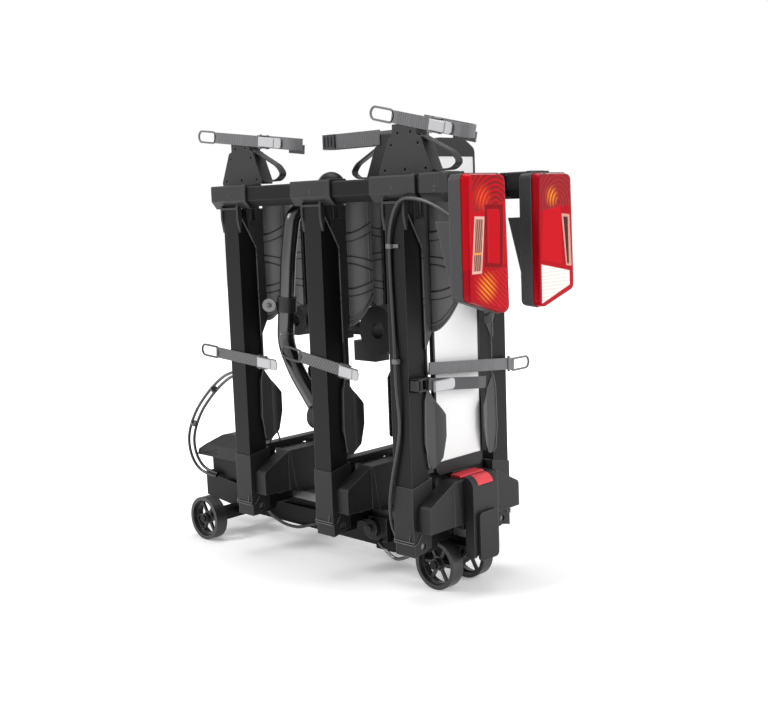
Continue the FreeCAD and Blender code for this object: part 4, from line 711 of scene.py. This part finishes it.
# Tray flanks: satin polypropylene wings, moulded in one with each tray's walls. Each is a curved
# sheet with three raised bands across it and a doubled bead along its rim and slanted lower end.
rail_places = (-206, 15, 206)
flank_centre, flank_radius = (24.3, -31.4), 35.6
foot_y, rim_y, flank_low, flank_top = -67, -43, 430, 670
foot_angle, flank_turn = math.radians(-92.1), math.radians(73.1)
lower_end = (443.6, 487, True)
flank_bands = (((587, 601), (601, 617)), ((549, 537), (561, 552)), ((493, 503), (506, 517)))


def flank(mesh, x, side, proud, thickness, lines, between=None):
    """A curved sheet, proud of the flank's face, cut along lines across it.

    A line is its height at the foot, its height at the rim, and whether what lies above it stays.
    Between gives two Y values that the sheet is cut down to."""
    part = bmesh.new()
    radius = flank_radius + proud
    start_x = x + flank_centre[0] + radius * math.cos(foot_angle)
    start_y = flank_centre[1] + radius * math.sin(foot_angle)
    ends = [bmesh.ops.create_vert(part, co=mm(start_x, start_y, z))["vert"][0]
            for z in (flank_low, flank_top)]
    line = bmesh.ops.contextual_create(part, geom=ends)["edges"]
    bmesh.ops.spin(part, geom=ends + line, cent=mm(x + flank_centre[0], flank_centre[1], 0),
                   axis=(0, 0, 1), angle=flank_turn, steps=16)
    for at_foot, at_rim, keep_above in lines:
        slope = (at_rim - at_foot) / (rim_y - foot_y)
        normal = Vector((0, slope, -1)) if keep_above else Vector((0, -slope, 1))
        part_at(part, (0, foot_y, at_foot), normal, clear=True)
    if between:
        for y, outward in zip(between, (-1, 1)):
            part_at(part, (0, y, 0), (0, outward, 0), clear=True)
    bmesh.ops.recalc_face_normals(part, faces=part.faces)
    if sum(face.normal.y for face in part.faces) > 0:
        bmesh.ops.reverse_faces(part, faces=part.faces)
    bmesh.ops.solidify(part, geom=part.faces[:], thickness=thickness / 1000)
    if side < 0:
        bmesh.ops.scale(part, vec=(-1, 1, 1), verts=part.verts,
                        space=Matrix.Translation(-mm(x, 0, 0)))
        bmesh.ops.reverse_faces(part, faces=part.faces)
    held = bpy.data.meshes.new("part")
    part.to_mesh(held)
    part.free()
    mesh.from_mesh(held)
    bpy.data.meshes.remove(held)


def on_both_wings(name, build, slot, material, node=None):
    """Finish what a function builds on the near wing, and its mirror image on the far wing."""
    for wing in ("near", "far"):
        mesh = bmesh.new()
        build(mesh)
        if wing == "far":
            bmesh.ops.scale(mesh, vec=(1, -1, 1), verts=mesh.verts)
        replaced = [f"{wing}_{node}"] if node else []
        finish_mesh(f"{wing}_{name}", mesh, f"{wing}_wing", slot, material, *replaced)


def flanks(mesh):
    for x in rail_places:
        for side in (-1, 1):
            flank(mesh, x, side, 0, 2.6, [lower_end])
            for low, high in flank_bands:
                flank(mesh, x, side, 1.1, 1.6, [(*low, True), (*high, False), lower_end])
            flank(mesh, x, side, 1.6, 2.2, [lower_end, (447.5, 490.5, False)])
            flank(mesh, x, side, 1.6, 2.2, [(453, 495, True), (456.5, 498, False)])
            flank(mesh, x, side, 1.6, 2.2, [lower_end], (-44.6, -42))
            flank(mesh, x, side, 1.4, 2.0, [(470, 498, True)], (-48.6, -46.8))


def stripe(tree, place, at_foot, at_rim, width):
    """A line across the flank, from its height at the foot to its height 22 mm further in."""
    slope = (at_rim - at_foot) / 22
    axes = add(tree, "ShaderNodeSeparateXYZ", {"Vector": place})
    depth = add(tree, "ShaderNodeMath", {0: axes.outputs["Y"]}, operation="ABSOLUTE")
    line = add(tree, "ShaderNodeMath", {0: depth.outputs[0], 1: slope, 2: foot_y * slope - at_foot},
               operation="MULTIPLY_ADD")
    off = add(tree, "ShaderNodeMath", {0: line.outputs[0], 1: axes.outputs["Z"]}, operation="ADD")
    far = add(tree, "ShaderNodeMath", {0: off.outputs[0]}, operation="ABSOLUTE")
    limits = {"From Min": width / 2 - 0.5, "From Max": width / 2 + 0.5, "To Min": 1.0,
              "To Max": 0.0}
    return add(tree, "ShaderNodeMapRange", {"Value": far.outputs[0], **limits},
               interpolation_type="SMOOTHSTEP").outputs["Result"]


def flank_lines(tree, place):
    """Dark joints beside the bands and the beads, and a painted highlight on the beads' tops."""
    joints = [line for band in flank_bands for line in band] + [(450.5, 493.5)]
    tops = [(445.5, 488.7), (454.6, 496.4)]
    groove = join(tree, [stripe(tree, place, *line, 2.4) for line in joints])
    lip = join(tree, [stripe(tree, place, *line, 1.6) for line in tops])
    height = add(tree, "ShaderNodeMath", {0: lip, 1: groove}, operation="SUBTRACT").outputs[0]
    dark = add(tree, "ShaderNodeMath", {0: groove, 1: 0.85}, operation="MULTIPLY").outputs[0]
    # Painted highlight along the beads' tops.
    light = add(tree, "ShaderNodeMath", {0: lip, 1: 0.5}, operation="MULTIPLY").outputs[0]
    return height, dark, light


# Painted light: the flanks and beads are the walls' plastic, given a lighter colour for the light
# that falls on their faces.
flank_plastic_painted_lighter = moulded("satin_flank_plastic_painted_lighter", "#626263", "#6c6c6d", 0.36, 1.4, 0.7, 0.12, 0.35,
                        flank_lines)
on_both_wings("tray_flanks", flanks, "tray_plastic", flank_plastic_painted_lighter)


# Beads along the front edges of the trays' straight walls, above and below the wheel straps. They
# are moulded with the walls and follow their outline.
def beads(mesh):
    for x in rail_places:
        for side in (-1, 1):
            edge = x + 23.4 * side
            rod(mesh, (edge, -85.4, 414), (edge, -86.4, 577), 1.1, 10)
            rod(mesh, (edge, -86.4, 577), (edge, -121, 639), 1.1, 10)
            rod(mesh, (edge, -86, 220), (edge, -92, 262), 1.0, 10)
            rod(mesh, (edge, -92, 262), (edge, -90, 330), 1.0, 10)
            rod(mesh, (edge, -90, 330), (edge, -84.5, 351), 1.0, 10)


on_both_wings("tray_beads", beads, "tray_plastic", flank_plastic_painted_lighter)

# Clamps of the top bars: glass-filled nylon sleeves that close round the bar and hold each rail
# between two narrow ribs. A wire hook hangs beside each. The end block has two grooves and a bolt.
clamp_ring = [(-127, 663), (-127, 689), (-125, 691), (-91, 691), (-89, 689), (-89, 663),
              (-100, 649), (-116, 649)]
rib_outline = [(-126.6, 655), (-126.6, 630), (-122.5, 606), (-120, 606), (-117, 632), (-117, 655)]
rib_width = 5


def prism(mesh, outline, start, length, rounding):
    """A solid along the bar from its outline of Y and Z, its edges rounded."""
    corners = [bmesh.ops.create_vert(mesh, co=mm(start, y, z))["vert"][0] for y, z in outline]
    face = bmesh.ops.contextual_create(mesh, geom=corners)["faces"]
    made = bmesh.ops.extrude_face_region(mesh, geom=face)["geom"]
    moved = [item for item in made if isinstance(item, bmesh.types.BMVert)]
    bmesh.ops.translate(mesh, vec=(length / 1000, 0, 0), verts=moved)
    soften(mesh, edges_of(corners + moved), rounding)


def sleeve(mesh, start, end, grow):
    """A sleeve round the bar, grown outwards from the clamps' outline."""
    outline = [(y + math.copysign(grow, y + 108), z + math.copysign(grow, z - 670))
               for y, z in clamp_ring]
    prism(mesh, outline, start, end - start, 0.7)


def clamps(mesh):
    for x in rail_places:
        sleeve(mesh, x - 50, x + 43, 0)
        sleeve(mesh, x + 43, x + 50, 1)
        prism(mesh, rib_outline, x - 25.3, rib_width, 0.6)
        prism(mesh, rib_outline, x + 20.3, rib_width, 0.6)
        soft_block(mesh, (x - 21, -126, 647), (x + 21, -118, 651), 0.6)
        soft_block(mesh, (x + 27, -103, 622), (x + 31, -99, 650), 0.8)
        soft_block(mesh, (x + 27, -103, 622), (x + 31, -86, 626), 0.8)
        soft_block(mesh, (x + 27, -90, 622), (x + 31, -86, 650), 0.8)
        rod(mesh, (x, -126.8, 672), (x, -127.6, 672), 2.2, 12)
    sleeve(mesh, 265, 323, 1)
    for x in (306, 311):
        sleeve(mesh, x, x + 2.4, 1.8)
    rod(mesh, (296, -126, 668), (296, -129, 668), 4, 6)


on_both_wings("clamps", clamps, "black_plastic", smooth_nylon, "fittings")


# Wire clips of the shoes: a doubled 2 mm spring wire round each shoe's foot, bent up at both
# sides of the front face and round the corner into the pin's fork.
def shoe_clips(mesh):
    for x in rail_places:
        for level in (98.5, 102.5):
            rod(mesh, (x - 21.6, -126.6, level), (x + 21.6, -126.6, level), 1.1, 10)
        rod(mesh, (x + 12, -126.6, 102), (x + 15, -126.6, 116), 0.9, 10)
        rod(mesh, (x - 22.6, -126, 98.5), (x - 22.6, -122, 112), 1.0, 10)
        rod(mesh, (x + 22.4, -126, 98.5), (x + 22.4, -117, 101), 1.0, 10)
        rod(mesh, (x + 22.4, -117, 101), (x + 22.4, -108, 113), 1.0, 10)


wire_finish = moulded("black_spring_wire", "#3a3a3b", "#4a4a4b", 0.25, 2.0, 0.3, 0.05, 0.8)
on_both_wings("shoe_clips", shoe_clips, "black_wire", wire_finish)


# Lens screws: four dark heads, just sunk in the face of each lens, two near its upper corners and
# two near the lower ones. They hold the lens on its housing.
def lens_screws(mesh):
    for y, z in ((-111, 680), (-59, 684), (-127, 503), (-50, 487)):
        rod(mesh, (362, y, z), (363.6, y, z), 3.0, 12)


on_both_wings("lens_screws", lens_screws, "red_lens", satin_paint)

# Barrel of the lock: a black cylinder in the middle of the knob's face, where the key goes in. It
# points the way the knob does, half to the rear and half to the near side.
knob_low, knob_high = (in_rack(corner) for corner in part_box("lock_knob"))
knob = (knob_low + knob_high) / 2
facing = Vector((0.7, -0.714, 0))
mesh = bmesh.new()
rod(mesh, knob + facing * 3, knob + facing * 5.6, 5, 24)
finish_mesh("lock_barrel", mesh, "lock_knob", "black_plastic", satin_paint)

# Lamp cable clips: grey saddles round the cable, pressed into the rail. The upper one has a tab
# on its rear side.
mesh = bmesh.new()
soft_block(mesh, (192, -131.2, 577), (203, -123.8, 585), 1.5)
soft_block(mesh, (203, -126.2, 578), (215, -124, 584), 0.8)
soft_block(mesh, (199, -134, 394), (210, -123.8, 402), 1.5)
finish_mesh("lamp_cable_clips", mesh, "near_wing", "grey_plastic", strap_rubber)

# Second strand of the loom: the same black sheathed cable, which lies inside the first one's arc.
# Two ties bind the strands.
strand_route = [mm(-229.3, -93, 341), mm(-266, -90, 334), mm(-324, -75, 310), mm(-377, -66, 276),
                mm(-424, -59, 237), mm(-458, -53, 190), mm(-461, -51, 156), mm(-448, -48, 128),
                mm(-426, -44, 114), mm(-402, -40, 111)]
strand = cord_curve("loom_strand", strand_route, 0.006)
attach(strand, "base")
dress(cable_sheath, strand)
mesh = bmesh.new()
for centre, run in (((-354, -73, 296), (-55, 9, -35)), ((-445.5, -59, 214.5), (-34, 5, -49))):
    centre, run = Vector(centre), Vector(run).normalized()
    rod(mesh, centre - run * 2.5, centre + run * 2.5, 7.2, 16)
finish_mesh("loom_ties", mesh, "base", "black_plastic", wire_finish)

# Wire loop on the left hinge cover, bent from one wire: two legs that lean together and a level
# bar between them.
mesh = bmesh.new()
loop = [(-206, -58, 203), (-206, -52, 222), (-206, -38, 222), (-206, -32, 203)]
for start, end in zip(loop, loop[1:]):
    rod(mesh, start, end, 1.6, 12)
finish_mesh("cover_wire_loop", mesh, "base", "black_wire", wire_finish)

# Floor and light: a pale studio floor that turns to plain white away from the rack, so that it
# keeps the shadow and shows no horizon. One large soft lamp stands at the left front, two fill.
floor_level = -0.0725
floor_mesh = bmesh.new()
bmesh.ops.create_grid(floor_mesh, x_segments=1, y_segments=1, size=6)
bmesh.ops.translate(floor_mesh, verts=floor_mesh.verts, vec=(0, 0, floor_level))
floor_data = bpy.data.meshes.new("floor")
floor_mesh.to_mesh(floor_data)
floor_mesh.free()
floor = placed("floor", floor_data)


def seen_directly(tree):
    """1 for the camera's rays and for those that gloss and glass send on, otherwise 0."""
    rays = add(tree, "ShaderNodeLightPath")
    clear = add(tree, "ShaderNodeMath", {0: rays.outputs["Is Camera Ray"],
                                         1: rays.outputs["Is Transmission Ray"]},
                operation="MAXIMUM")
    return add(tree, "ShaderNodeMath", {0: clear.outputs[0], 1: rays.outputs["Is Glossy Ray"]},
               operation="MAXIMUM").outputs[0]


floor_paint, tree, shader = new_finish("pale_floor")
shader.inputs["Base Color"].default_value = linear("#f4f4f4")
shader.inputs["Roughness"].default_value = 0.9
shader.inputs["Emission Color"].default_value = (1, 1, 1, 1)
far_off = add(tree, "ShaderNodeVectorMath", {0: rack_place(tree), 1: (0, 0, 0)},
              operation="DISTANCE")
fade = add(tree, "ShaderNodeMapRange", {"Value": far_off.outputs["Value"], "From Min": 450,
                                        "From Max": 1100, "To Min": 0.25, "To Max": 1.0})
glow = add(tree, "ShaderNodeMath", {0: fade.outputs["Result"], 1: seen_directly(tree)},
           operation="MULTIPLY")
tree.links.new(glow.outputs[0], shader.inputs["Emission Strength"])
floor.data.materials.append(floor_paint)

world = bpy.data.worlds.new("studio")
bpy.context.scene.world = world
world.use_nodes = True
sky = world.node_tree
sky.nodes.clear()
dim = add(sky, "ShaderNodeBackground", {"Color": (1, 1, 1, 1), "Strength": 0.34})
white = add(sky, "ShaderNodeBackground", {"Color": (1, 1, 1, 1), "Strength": 1.0})
both = add(sky, "ShaderNodeMixShader", {0: seen_directly(sky), 1: dim.outputs[0],
                                        2: white.outputs[0]})
add(sky, "ShaderNodeOutputWorld", {"Surface": both.outputs[0]})


def soft_lamp(name, place, size, power):
    light = bpy.data.lights.new(name, "AREA")
    light.shape = "RECTANGLE"
    light.size, light.size_y = size
    light.energy = power
    lamp = placed(name, light)
    lamp.location = place
    aim = Vector((0.4, 0, 0.3)) - Vector(place)
    lamp.rotation_euler = aim.to_track_quat("-Z", "Y").to_euler()


soft_lamp("key", (-0.6, -2.2, 1.9), (0.7, 1.2), 46)
soft_lamp("top", (0.3, 0.2, 2.6), (1.6, 1.2), 30)
soft_lamp("rear_fill", (2.6, 0.6, 1.2), (1.0, 1.6), 30)
